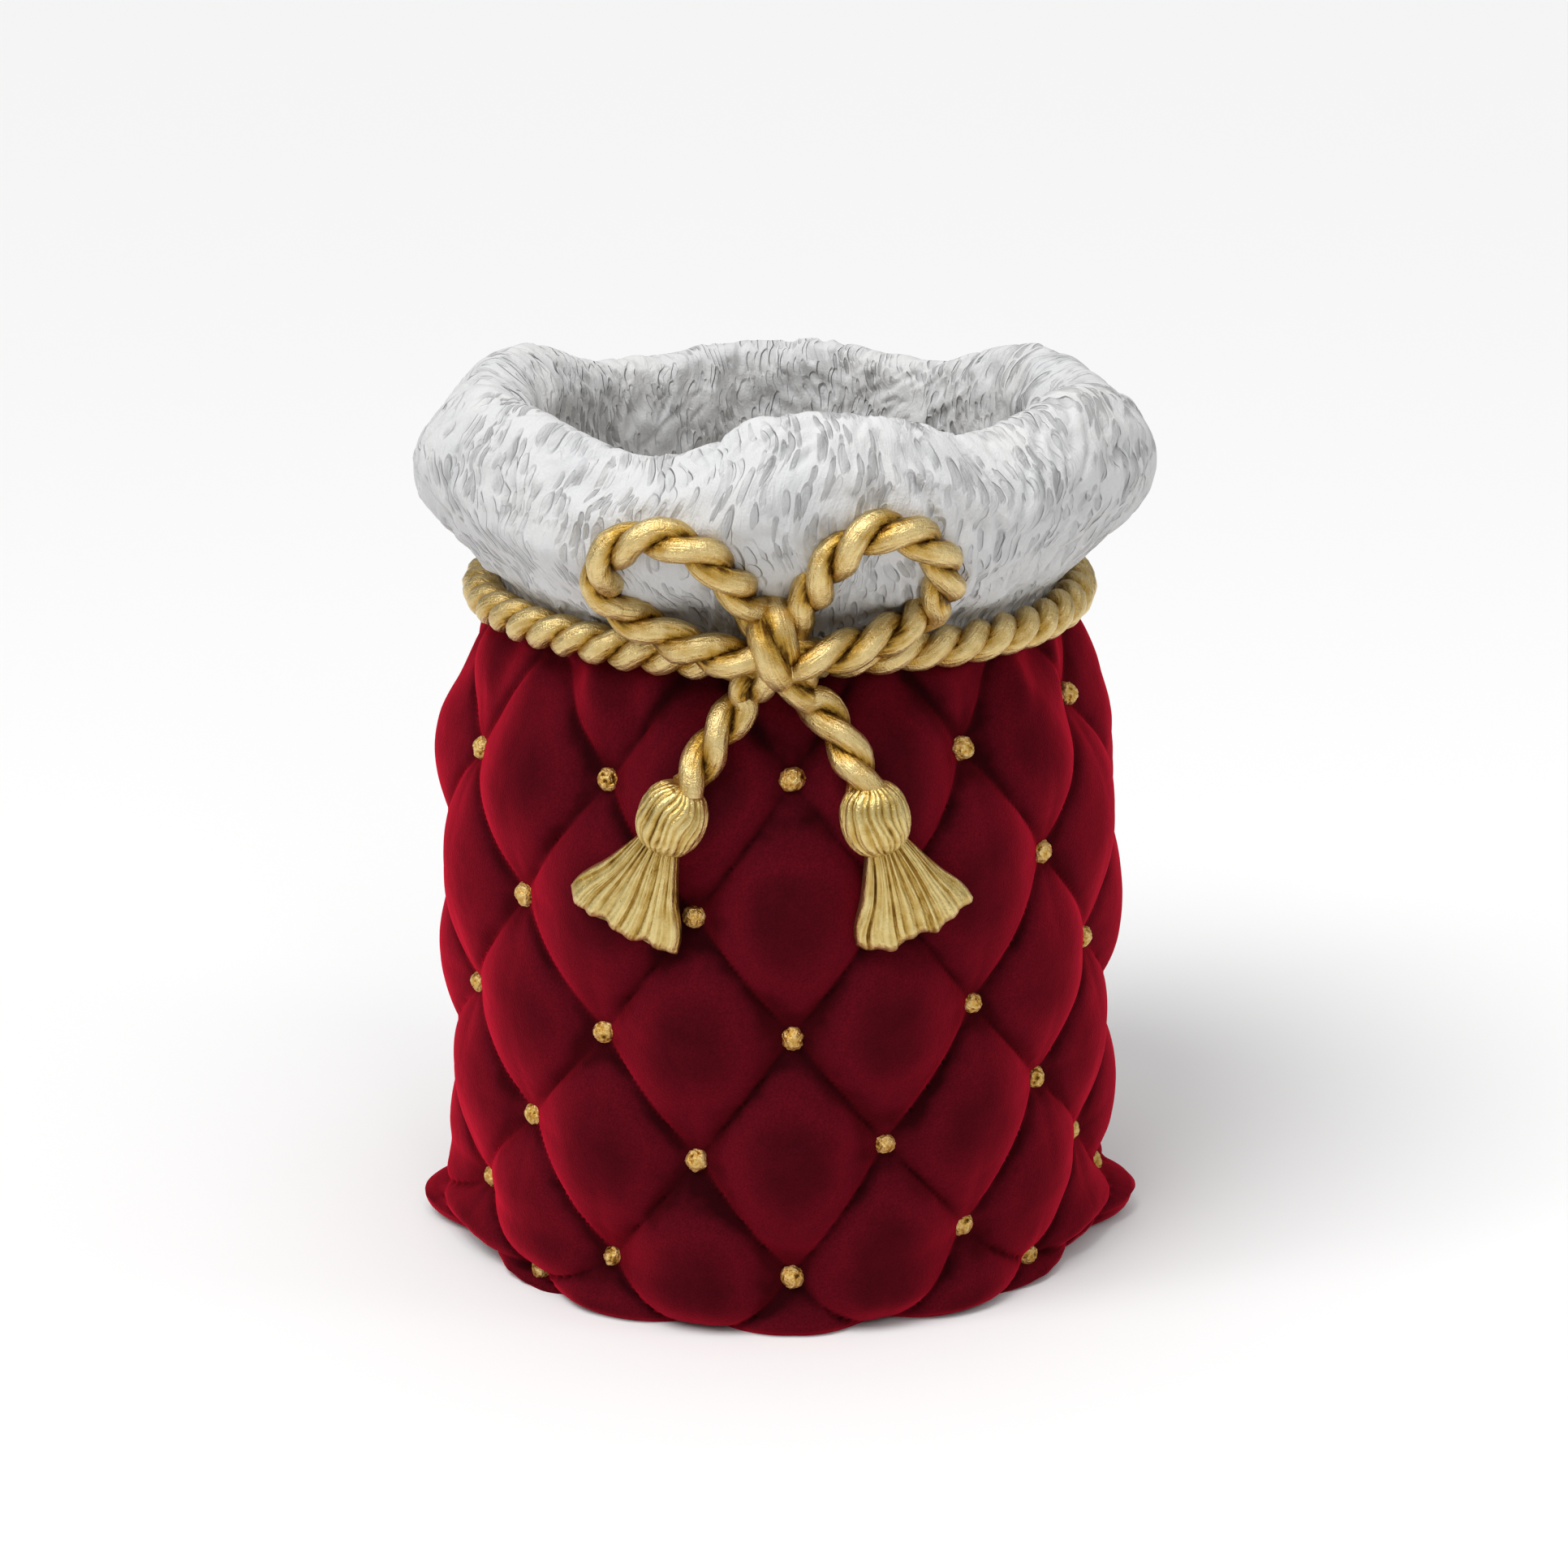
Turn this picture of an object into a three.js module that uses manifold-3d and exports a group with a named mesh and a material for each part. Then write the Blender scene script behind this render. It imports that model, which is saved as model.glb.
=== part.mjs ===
// Gift sack: a hollow container cast in the shape of a tied, quilted sack.
// A flocked body with a diamond quilting pattern and a gold stud in every crossing,
// a fur collar with a rolled rim in six lobes, and a gold cord round the neck,
// tied in a bow at the front with two tails that end in tassels.
// Millimetres, +Z up. The origin is the centre of the flat underside.
// Angles are in degrees round the sack, 0 at the front (-Y) and positive towards +X.
import * as THREE from 'three';
import { mergeVertices } from 'three/addons/utils/BufferGeometryUtils.js';
import Module from 'manifold-3d';

const wasm = await Module();
wasm.setup();

// Body
const CORD_HEIGHT = 174.3;        // middle of the neck cord above the floor
const BELLY_RADIUS = 91;          // over the tops of the pillows
const WAIST_IN = 2.5;             // how much narrower the sack is just above its hem
const WAIST_HEIGHT = 17;
const HEM_IN = 6;                 // how far the hem turns in at the floor
const NECK_RADIUS = 71.5;
const WALL = 4.5;
const FLOOR_THICKNESS = 7;
const CAVITY_FILLET = 6;
const FULLNESS_MID_SHOULDER = 0.95; // share of the way from the neck's radius to the belly's
const FULLNESS_AT_TOP_ROW = 0.78;
const FULLNESS_AT_PLEATS = 0.5;
const FULLNESS_AT_SHOULDER = 0.26;
const LOWER_BELLY_IN = 0.7;
const EAR_REACH = 12;             // the two corners of the sack, left and right at the hem
const EAR_ANGLE = 85;
const EAR_SPREAD = 11;            // degrees
const EAR_HEIGHT = 4;
const EAR_RISE = 8;

// Quilting: seams run both ways round the sack and cross at the studs
const STUDS_PER_TURN = 9.5;       // the rows climb by one row in each turn
const ROWS = 4;                   // from the top row to the bottom row
const TOP_ROW_BELOW_CORD = 29.3;
const BOTTOM_ROW_HEIGHT = 15;
const HEM_CROWDING = 23;          // seams below the bottom row crowd into this height
const SIDE_LIFT = 13;             // the ears pull the lower seams up at the sides
const SIDE_LIFT_REACH = 80;       // height over which that pull dies out
const ANGLE_WARP = 8.5;           // degrees; pillows are narrower at the front
const ANGLE_WARP_CENTRE = 15;
const QUILT_DEPTH = 7;            // pillow top to stud seat
const SEAM_DEPTH = 4.6;           // pillow top to the middle of a seam
const PLEAT_HEIGHT = 24;          // the quilting dies out over this height under the cord

// Studs
const STUD_RADIUS = 2.8;
const STUD_SEAT = 1.7;            // depth of the shank in its pocket
const STUD_PROUD = 2.4;
const HIGHEST_STUD_ROW = -0.47;   // rows below the top row; the cord leaves room for no higher one
const LOWEST_STUD_ROW = 4.5;      // and the floor for no lower one
const HIDDEN_STUD = { row: 1, column: 0.5 };  // under the right tassel's skirt, so it has no stud
const STUD_SIDES = 6;
const STUD_CROWN = [[1, 0.35], [0.7, 0.85], [0, 1]];  // share of its radius, share of its height

// Collar
const COLLAR_BULGE = 96;          // outer radius of the rolled rim
const COLLAR_BULGE_RISE = 37;     // above the cord
const RIM_RISE = 56.5;             // nominal top of the rim above the cord
const RIM_ROLL = 15;              // thickness of the rolled rim
const LOBE_FLARE = 0.4;           // a lobe 1 mm higher leans out by this much
const COLLAR_FOOT_FLARE = 1.5;    // where it leaves the cord
const COLLAR_LOW_IN = 12;         // how far the outside stands in from the bulge, low down
const COLLAR_LOW_SHARE = 0.35;    // of the bulge's height
const COLLAR_HIGH_IN = 4;
const COLLAR_HIGH_SHARE = 0.68;
const ROLL_IN = 2;                // half way up the roll
const THROAT_OUT = 8;             // the inside, half way up to the bulge, against the mouth
const RIM_LOBES = [               // angle, rim height against the nominal top
  [-152, -12], [-120, -3], [-90, -9], [-60, 0.5], [-26, -6.5], [6, 6.3],
  [32, -2.8], [60, 2.7], [92, -7], [125, -3.3], [152, -12], [180, -6.7],
];

// Cord, bow and tassels
const CORD_RADIUS = 5.2;
const BOW_CORD_RADIUS = 4.8;
const LOOP_SUNK = 0.4;            // share of its radius that a loop sinks into the collar
const TAIL_SUNK = 0.5;
const CORD_SIDES = 8;
const KNOT_SIDES = 12;
const KNOT = { angle: -0.7, above: 6.2, out: 1.5, width: 12.6, depth: 13, height: 21.5 };
const LEFT_LOOP = [               // angle, height above the middle of the neck cord
  [-3.9, 14.2], [-6.0, 24.5], [-10.4, 33.2], [-17.6, 36.4], [-24.2, 32.4],
  [-28.6, 23.4], [-28.3, 14.2], [-22.6, 8.2], [-14.0, 4.8], [-5.2, 2.4],
];
const RIGHT_LOOP = [
  [3.0, 14.4], [5.2, 23.6], [9.4, 34.6], [14.4, 38.4], [19.6, 35.4],
  [24.6, 28.0], [27.0, 19.4], [26.2, 11.2], [17.2, 6.8], [4.4, 2.8],
];
const LEFT_TAIL = [[-4.2, -3], [-5.4, -8.5], [-7.7, -12.6], [-10.7, -18.4], [-13.6, -27.2]];
const RIGHT_TAIL = [[3.4, -3], [4.6, -8.5], [8.2, -13.2], [11.4, -21.6], [13.2, -28.4]];
const TASSEL_HEAD = { width: 17.8, height: 18.4, depth: 15 };
const SKIRT_LENGTH = 22;
const SKIRT_TOP_RADIUS = 5.2;
const SKIRT_BOTTOM_RADIUS = 15.4;
const SKIRT_FLATNESS = 0.42;      // depth against width
const SKIRT_FLARE = [[0.72, 0.62], [0.3, 0.3]];  // share of the flare, share of the way down
const SKIRT_TUCK = 3;             // of its top inside the head
const SKIRT_EDGE = 1.5;           // thickness of its lower edge
const FLUTES = 7;
const FLUTE_DEPTH = 0.06;         // share of the local radius
const BARREL = [[0, -0.5], [0.36, -0.47], [0.5, -0.25], [0.46, 0], [0.5, 0.25], [0.36, 0.47], [0, 0.5]];
const LEFT_TASSEL = { angle: -16.7, below: 37, lean: -28 };
const RIGHT_TASSEL = { angle: 14.8, below: 36.8, lean: 24 };

// Facets
const SEGMENTS = 64;              // round the sack
const HEAD_RINGS = 6;
const CORD_STEP = 1.3;            // in cord radii
const OUTER_RINGS = 18;
const COLLAR_RINGS = 14;
const CAVITY_FILLET_STEPS = 2;
const SETTLING_STEPS = 8;         // for the seams' curves, which are solved by repeating
const HIGHEST_CROWDED_SHARE = 0.95;
const SAME_POINT = 1e-3;

const GAP = 0.3;                  // clearance between pieces that touch

// Derived heights and radii
const SEAM_HEIGHT = CORD_HEIGHT - GAP / 2;           // body ends, collar begins
const SHOULDER_HEIGHT = CORD_HEIGHT - 1.5 * CORD_RADIUS;
const NECK_HEIGHT = CORD_HEIGHT - 0.8 * CORD_RADIUS;
const TOP_ROW_HEIGHT = CORD_HEIGHT - TOP_ROW_BELOW_CORD;
const ROW_DROP = (TOP_ROW_HEIGHT - BOTTOM_ROW_HEIGHT) / ROWS;
const WAIST_RADIUS = BELLY_RADIUS - WAIST_IN;
const CAVITY_RADIUS = WAIST_RADIUS - QUILT_DEPTH - WALL;
const MOUTH_RADIUS = NECK_RADIUS - WALL;
const CORD_RING_RADIUS = NECK_RADIUS + GAP + CORD_RADIUS;
const RIM_HEIGHT = CORD_HEIGHT + RIM_RISE;

const velvet = () => new THREE.MeshStandardMaterial({ color: 0x7d0d1b, roughness: 0.95, metalness: 0 });
const fur = () => new THREE.MeshStandardMaterial({ color: 0xdfe2e6, roughness: 0.85, metalness: 0 });
const gold = () => new THREE.MeshStandardMaterial({ color: 0xb8953f, roughness: 0.4, metalness: 0.8 });
const paleGold = () => new THREE.MeshStandardMaterial({ color: 0xc9b767, roughness: 0.45, metalness: 0.7 });

const radians = THREE.MathUtils.degToRad;
const smooth = THREE.MathUtils.smoothstep;

// A smooth curve through [position, value] stations.
function curveThrough(stations) {
  const positions = stations.map((station) => station[0]);
  const values = stations.map((station) => station[1]);
  const curve = new THREE.CubicInterpolant(positions, values, 1, [0]);
  return (position) => curve.evaluate(position)[0];
}

// Turns a geometry into a solid that can be joined and cut.
function toSolid(geometry) {
  const bare = geometry.clone();
  bare.deleteAttribute('normal');
  bare.deleteAttribute('uv');
  const merged = mergeVertices(bare, SAME_POINT);
  const index = Array.from(merged.index.array);
  const corners = [];
  for (let i = 0; i < index.length; i += 3) {
    const [a, b, c] = index.slice(i, i + 3);
    if (a !== b && b !== c && c !== a) {
      corners.push(a, b, c);
    }
  }
  const vertProperties = Float32Array.from(merged.attributes.position.array);
  const triVerts = Uint32Array.from(corners);
  return new wasm.Manifold(new wasm.Mesh({ numProp: 3, vertProperties, triVerts }));
}

function toGeometry(solid) {
  const mesh = solid.getMesh();
  const geometry = new THREE.BufferGeometry();
  geometry.setAttribute('position', new THREE.BufferAttribute(mesh.vertProperties, 3));
  geometry.setIndex(new THREE.BufferAttribute(mesh.triVerts, 1));
  geometry.computeVertexNormals();
  return geometry;
}

function cut(solid, cutters) {
  return cutters.reduce((rest, cutter) => rest.subtract(cutter), solid);
}

// A ring or vessel turned from a closed profile of [radius, height] points, about Z,
// then moved point by point by place(angle, radius, height) -> [radius, height].
function turned(profile, place) {
  const points = profile.map(([radius, height]) => new THREE.Vector2(radius, height));
  const geometry = new THREE.LatheGeometry(points, SEGMENTS);
  geometry.rotateX(Math.PI / 2);
  const position = geometry.attributes.position;
  for (let i = 0; i < position.count; i += 1) {
    const x = position.getX(i);
    const y = position.getY(i);
    const angle = THREE.MathUtils.radToDeg(Math.atan2(x, -y));
    const [radius, height] = place(angle, Math.hypot(x, y), position.getZ(i));
    position.setXYZ(i, radius * Math.sin(radians(angle)), -radius * Math.cos(radians(angle)), height);
  }
  return geometry;
}

// A point at an angle round the sack, a distance from its axis and a height.
function around(angle, radius, height) {
  return new THREE.Vector3(radius * Math.sin(radians(angle)), -radius * Math.cos(radians(angle)), height);
}

// ---- The body's outline and its quilting

const shoulder = (share) => NECK_RADIUS + share * (BELLY_RADIUS - NECK_RADIUS);

// Radius over the pillow tops at a height.
const envelope = curveThrough([
  [0, BELLY_RADIUS - HEM_IN],
  [WAIST_HEIGHT / 3, WAIST_RADIUS],
  [WAIST_HEIGHT, WAIST_RADIUS],
  [WAIST_HEIGHT + ROW_DROP, BELLY_RADIUS - LOWER_BELLY_IN],
  [(WAIST_HEIGHT + TOP_ROW_HEIGHT) / 2, BELLY_RADIUS],
  [TOP_ROW_HEIGHT - ROW_DROP / 2, shoulder(FULLNESS_MID_SHOULDER)],
  [TOP_ROW_HEIGHT, shoulder(FULLNESS_AT_TOP_ROW)],
  [CORD_HEIGHT - 3 * CORD_RADIUS, shoulder(FULLNESS_AT_PLEATS)],
  [SHOULDER_HEIGHT, shoulder(FULLNESS_AT_SHOULDER)],
  [NECK_HEIGHT, NECK_RADIUS],
]);

function bodyRadius(angle, height) {
  const ear = Math.exp(-(((Math.abs(angle) - EAR_ANGLE) / EAR_SPREAD) ** 2));
  const low = Math.exp(-(((height - EAR_HEIGHT) / EAR_RISE) ** 2));
  return envelope(Math.min(height, NECK_HEIGHT)) + EAR_REACH * ear * low;
}

// The seams are evenly spaced in an even angle and an even height; these two pairs of
// functions turn the even values into the real ones and back.
function realAngle(even) {
  return even - ANGLE_WARP * Math.sin(radians(even - ANGLE_WARP_CENTRE));
}

function evenAngle(angle) {
  let even = angle;
  for (let step = 0; step < SETTLING_STEPS; step += 1) {
    even = angle + ANGLE_WARP * Math.sin(radians(even - ANGLE_WARP_CENTRE));
  }
  return even;
}

function sideLift(angle, even) {
  const pull = 1 - smooth(even, BOTTOM_ROW_HEIGHT, BOTTOM_ROW_HEIGHT + SIDE_LIFT_REACH);
  return SIDE_LIFT * Math.sin(radians(angle)) ** 2 * pull;
}

function realHeight(angle, even) {
  const below = Math.max(0, BOTTOM_ROW_HEIGHT - even);
  const crowded = HEM_CROWDING * (1 - Math.exp(-below / HEM_CROWDING));
  return Math.max(even, BOTTOM_ROW_HEIGHT) - crowded + sideLift(angle, even);
}

function evenHeight(angle, height) {
  let even = height;
  for (let step = 0; step < SETTLING_STEPS; step += 1) {
    const unlifted = height - sideLift(angle, even);
    const crowding = (BOTTOM_ROW_HEIGHT - unlifted) / HEM_CROWDING;
    const below = THREE.MathUtils.clamp(crowding, 0, HIGHEST_CROWDED_SHARE);
    even = Math.max(unlifted, BOTTOM_ROW_HEIGHT) + HEM_CROWDING * Math.log(1 - below);
  }
  return even;
}

// How far the surface lies below the pillow tops.
function quiltDrop(angle, height) {
  const turns = evenAngle(angle) / 360;
  const row = (TOP_ROW_HEIGHT - evenHeight(angle, height)) / ROW_DROP + turns;
  const column = turns * STUDS_PER_TURN;
  const acrossOneWay = Math.abs(Math.sin(Math.PI * (column - row / 2)));
  const acrossOther = Math.abs(Math.sin(Math.PI * (column + row / 2)));
  const pillow = Math.sqrt(acrossOneWay * acrossOther);
  const alongSeam = Math.max(acrossOneWay, acrossOther);
  const drop = QUILT_DEPTH - (QUILT_DEPTH - SEAM_DEPTH) * alongSeam - SEAM_DEPTH * pillow;
  const neck = CORD_HEIGHT - CORD_RADIUS;
  return drop * (1 - smooth(height, neck - PLEAT_HEIGHT, neck));
}

function bodySolid(extra) {
  const outer = [[0, 0]];
  for (let ring = 0; ring <= OUTER_RINGS; ring += 1) {
    outer.push([BELLY_RADIUS, SHOULDER_HEIGHT * ring / OUTER_RINGS]);
  }
  outer.push([BELLY_RADIUS, NECK_HEIGHT], [BELLY_RADIUS, SEAM_HEIGHT]);
  const cavity = [
    [MOUTH_RADIUS, SEAM_HEIGHT],
    [MOUTH_RADIUS, TOP_ROW_HEIGHT],
    [CAVITY_RADIUS, TOP_ROW_HEIGHT - ROW_DROP],
  ];
  for (let step = 0; step <= CAVITY_FILLET_STEPS; step += 1) {
    const turn = (Math.PI / 2) * step / CAVITY_FILLET_STEPS;
    const radius = CAVITY_RADIUS - CAVITY_FILLET * (1 - Math.cos(turn));
    cavity.push([radius, FLOOR_THICKNESS + CAVITY_FILLET * (1 - Math.sin(turn))]);
  }
  cavity.push([0, FLOOR_THICKNESS]);
  return toSolid(turned([...outer, ...cavity], (angle, radius, height) => {
    if (radius < BELLY_RADIUS - SAME_POINT) {
      return [radius, height];
    }
    return [bodyRadius(angle, height) - quiltDrop(angle, height) + extra, height];
  }));
}

// ---- The studs, one in every crossing of the seams

function studPlaces() {
  const places = [];
  for (let row = -1; row <= ROWS + 1; row += 1) {
    for (let column = -STUDS_PER_TURN; column <= STUDS_PER_TURN; column += 1 / 2) {
      const crossing = Number.isInteger(column - row / 2);
      const turns = column / STUDS_PER_TURN;
      const inTurn = turns > -0.5 && turns <= 0.5;
      const hidden = row === HIDDEN_STUD.row && column === HIDDEN_STUD.column;
      const angle = realAngle(turns * 360);
      const even = TOP_ROW_HEIGHT - (row - turns) * ROW_DROP;
      const lifted = row - turns - sideLift(angle, even) / ROW_DROP;
      const inRange = row - turns >= HIGHEST_STUD_ROW && lifted <= LOWEST_STUD_ROW;
      if (crossing && inTurn && inRange && !hidden) {
        const height = realHeight(angle, even);
        places.push({ angle, height, radius: bodyRadius(angle, height) - quiltDrop(angle, height) });
      }
    }
  }
  return places;
}

// A dome on a short shank, pointing along +Y before it is placed.
function studGeometry(extra, proud) {
  const radius = STUD_RADIUS + extra;
  const outline = [
    [0, -STUD_SEAT - extra],
    [radius, -STUD_SEAT - extra],
    ...STUD_CROWN.map(([out, along]) => [radius * out, proud * along]),
  ];
  const points = outline.map(([out, along]) => new THREE.Vector2(out, along));
  return new THREE.LatheGeometry(points, STUD_SIDES);
}

function placeStud(object, stud) {
  object.position.copy(around(stud.angle, stud.radius, stud.height));
  object.rotation.set(0, 0, radians(stud.angle) + Math.PI);
  object.updateMatrix();
}

function studSolid(stud, extra, proud) {
  const place = new THREE.Object3D();
  placeStud(place, stud);
  return toSolid(studGeometry(extra, proud).applyMatrix4(place.matrix));
}

const studPocket = (stud) => studSolid(stud, GAP, QUILT_DEPTH + STUD_PROUD);
const studRoom = (stud) => studSolid(stud, GAP, STUD_PROUD + GAP);

// ---- The fur collar: a ring on the body's neck, rolled over at the top

const lobes = curveThrough([
  ...RIM_LOBES.map(([angle, rise]) => [angle - 360, rise]),
  ...RIM_LOBES,
  ...RIM_LOBES.map(([angle, rise]) => [angle + 360, rise]),
]);

const collarOutside = [
  [SEAM_HEIGHT + GAP, NECK_RADIUS],
  [CORD_HEIGHT + CORD_RADIUS, NECK_RADIUS + COLLAR_FOOT_FLARE],
  [CORD_HEIGHT + COLLAR_LOW_SHARE * COLLAR_BULGE_RISE, COLLAR_BULGE - COLLAR_LOW_IN],
  [CORD_HEIGHT + COLLAR_HIGH_SHARE * COLLAR_BULGE_RISE, COLLAR_BULGE - COLLAR_HIGH_IN],
  [CORD_HEIGHT + COLLAR_BULGE_RISE, COLLAR_BULGE],
  [RIM_HEIGHT - RIM_ROLL / 2, COLLAR_BULGE - ROLL_IN],
];

// Lifts a nominal collar point to the rim's lobes; share is 0 at the neck, 1 at the rim.
function collarPlace(angle, radius, height) {
  const share = (height - SEAM_HEIGHT - GAP) / (RIM_HEIGHT - SEAM_HEIGHT - GAP);
  const rise = lobes(angle);
  return [radius + LOBE_FLARE * share * share * rise, height + rise * share];
}

const collarNominal = curveThrough(collarOutside);

function collarRadius(angle, height) {
  const rise = lobes(angle);
  const span = RIM_HEIGHT - SEAM_HEIGHT - GAP;
  const share = (height - SEAM_HEIGHT - GAP) / (span + rise);
  return collarNominal(SEAM_HEIGHT + GAP + share * span) + LOBE_FLARE * share * share * rise;
}

function collarSolid(extra) {
  const bottom = SEAM_HEIGHT + GAP;
  const section = [
    ...collarOutside.map(([height, radius]) => new THREE.Vector2(radius + extra, height)),
    new THREE.Vector2(COLLAR_BULGE - RIM_ROLL / 2, RIM_HEIGHT + extra),
    new THREE.Vector2(COLLAR_BULGE - RIM_ROLL, RIM_HEIGHT - RIM_ROLL / 2),
    new THREE.Vector2(MOUTH_RADIUS + THROAT_OUT, CORD_HEIGHT + COLLAR_BULGE_RISE / 2),
    new THREE.Vector2(MOUTH_RADIUS, bottom),
  ];
  const rounded = new THREE.SplineCurve(section).getSpacedPoints(COLLAR_RINGS);
  const profile = rounded.map((point) => [point.x, Math.max(point.y, bottom)]);
  return toSolid(turned([...profile, profile[0]], collarPlace));
}

// ---- The cord: a ring round the neck, and the bow and tails in front of it

function neckCordSolid(extra) {
  const profile = [];
  for (let side = 0; side <= CORD_SIDES; side += 1) {
    const turn = 2 * Math.PI * side / CORD_SIDES;
    const out = (CORD_RADIUS + extra) * Math.cos(turn);
    profile.push([CORD_RING_RADIUS + out, CORD_HEIGHT + (CORD_RADIUS + extra) * Math.sin(turn)]);
  }
  return toSolid(turned(profile, (angle, radius, height) => [radius, height]));
}

// Distance from the axis at which a cord lies on the collar, the body or the neck cord,
// whichever stands out most. It sinks into the skin under it, which is cut out of it.
function lyingRadius(angle, height, sunk) {
  const skin = height > CORD_HEIGHT ? collarRadius(angle, height) : bodyRadius(angle, height);
  const touching = CORD_RADIUS + GAP + BOW_CORD_RADIUS;
  const away = height - CORD_HEIGHT;
  const overCord = CORD_RING_RADIUS + Math.sqrt(Math.max(0, touching ** 2 - away ** 2));
  return Math.max(skin + (1 - sunk) * BOW_CORD_RADIUS, overCord);
}

function cordSolid(stations, extra, sunk) {
  const points = stations.map(([angle, above]) => {
    const height = CORD_HEIGHT + above;
    return around(angle, lyingRadius(angle, height, sunk), height);
  });
  const path = new THREE.CatmullRomCurve3(points, false, 'centripetal');
  const outline = [];
  for (let side = 0; side < CORD_SIDES; side += 1) {
    const turn = 2 * Math.PI * side / CORD_SIDES;
    const radius = BOW_CORD_RADIUS + extra;
    outline.push(new THREE.Vector2(radius * Math.cos(turn), radius * Math.sin(turn)));
  }
  const steps = Math.ceil(path.getLength() / (CORD_STEP * BOW_CORD_RADIUS));
  return toSolid(new THREE.ExtrudeGeometry(new THREE.Shape(outline), { extrudePath: path, steps }));
}

const bowCord = (stations, extra) => cordSolid(stations, extra, LOOP_SUNK);
const tailCord = (stations, extra) => cordSolid(stations, extra, TAIL_SUNK);

function knotSolid(extra) {
  const points = BARREL.map(([out, along]) => new THREE.Vector2(out, along));
  const geometry = new THREE.LatheGeometry(points, KNOT_SIDES);
  geometry.rotateX(Math.PI / 2);
  geometry.scale(KNOT.width + 2 * extra, KNOT.depth + 2 * extra, KNOT.height + 2 * extra);
  const centre = around(KNOT.angle, CORD_RING_RADIUS + CORD_RADIUS + KNOT.out, CORD_HEIGHT + KNOT.above);
  geometry.translate(centre.x, centre.y, centre.z);
  return toSolid(geometry);
}

// ---- The tassels: a fluted ball and a flat fluted skirt that flares below it

// Stands a tassel piece, modelled along Y, on the sack and leans it to one side.
function hangOnSack(geometry, tassel) {
  const height = CORD_HEIGHT - tassel.below;
  const lean = new THREE.Matrix4().makeRotationY(-radians(tassel.lean));
  const turn = new THREE.Matrix4().makeRotationZ(radians(tassel.angle));
  const centre = around(tassel.angle, bodyRadius(tassel.angle, height), height);
  geometry.rotateX(Math.PI / 2);
  geometry.applyMatrix4(turn.multiply(lean));
  geometry.translate(centre.x, centre.y, centre.z);
  return geometry;
}

function fluted(outline) {
  const points = outline.map(([out, along]) => new THREE.Vector2(out, along));
  const geometry = new THREE.LatheGeometry(points, FLUTES * 2);
  const position = geometry.attributes.position;
  for (let i = 0; i < position.count; i += 1) {
    const turn = Math.atan2(position.getX(i), position.getZ(i));
    const flute = 1 + FLUTE_DEPTH * Math.cos(FLUTES * turn);
    position.setX(i, position.getX(i) * flute);
    position.setZ(i, position.getZ(i) * flute);
  }
  return geometry;
}

function tasselHead(tassel, extra) {
  const outline = [];
  for (let ring = 0; ring <= HEAD_RINGS; ring += 1) {
    const turn = Math.PI * ring / HEAD_RINGS;
    const out = (TASSEL_HEAD.width / 2 + extra) * Math.sin(turn);
    outline.push([out, -(TASSEL_HEAD.height / 2 + extra) * Math.cos(turn)]);
  }
  const geometry = fluted(outline);
  geometry.scale(1, 1, TASSEL_HEAD.depth / TASSEL_HEAD.width);
  return toSolid(hangOnSack(geometry, tassel));
}

function tasselSkirt(tassel) {
  const top = -TASSEL_HEAD.height / 2 + SKIRT_TUCK;
  const flare = SKIRT_BOTTOM_RADIUS - SKIRT_TOP_RADIUS;
  const geometry = fluted([
    [0, top - SKIRT_LENGTH],
    [SKIRT_BOTTOM_RADIUS, top - SKIRT_LENGTH + SKIRT_EDGE],
    ...SKIRT_FLARE.map(([out, down]) => [SKIRT_TOP_RADIUS + flare * out, top - SKIRT_LENGTH * down]),
    [SKIRT_TOP_RADIUS, top - SKIRT_TUCK],
    [SKIRT_TOP_RADIUS, top],
    [0, top],
  ]);
  geometry.scale(1, 1, SKIRT_FLATNESS);
  return toSolid(hangOnSack(geometry, tassel));
}

// ---- The sack, piece by piece

const sack = new THREE.Group();

function addPiece(name, solid, material) {
  const mesh = new THREE.Mesh(toGeometry(solid), material);
  mesh.name = name;
  sack.add(mesh);
}

const studs = studPlaces();
const studRooms = studs.map(studRoom);
addPiece('sack_body', cut(bodySolid(0), studs.map(studPocket)), velvet());
addPiece('neck_cord', neckCordSolid(0), gold());

const bodyRoom = bodySolid(GAP);
const collarRoom = collarSolid(GAP);
const neckCordRoom = neckCordSolid(GAP);
const knotRoom = knotSolid(GAP);
addPiece('fur_collar', cut(collarSolid(0), [neckCordRoom]), fur());
addPiece('bow_knot', cut(knotSolid(0), [neckCordRoom, collarRoom, bodyRoom]), gold());

const sides = [
  { side: 'left', loop: LEFT_LOOP, tail: LEFT_TAIL, tassel: LEFT_TASSEL },
  { side: 'right', loop: RIGHT_LOOP, tail: RIGHT_TAIL, tassel: RIGHT_TASSEL },
];
sides.forEach(({ side, loop, tail, tassel }) => {
  const loopCutters = [collarRoom, neckCordRoom, knotRoom];
  addPiece(`bow_loop_${side}`, cut(bowCord(loop, 0), loopCutters), gold());
  const tailCutters = [bodyRoom, neckCordRoom, knotRoom, bowCord(loop, GAP), tasselHead(tassel, GAP)];
  addPiece(`cord_tail_${side}`, cut(tailCord(tail, 0), tailCutters), gold());
  const headCutters = [bodyRoom, ...studRooms];
  addPiece(`tassel_head_${side}`, cut(tasselHead(tassel, 0), headCutters), paleGold());
  const skirtCutters = [bodyRoom, tasselHead(tassel, GAP), ...studRooms];
  addPiece(`tassel_skirt_${side}`, cut(tasselSkirt(tassel), skirtCutters), paleGold());
});

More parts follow.
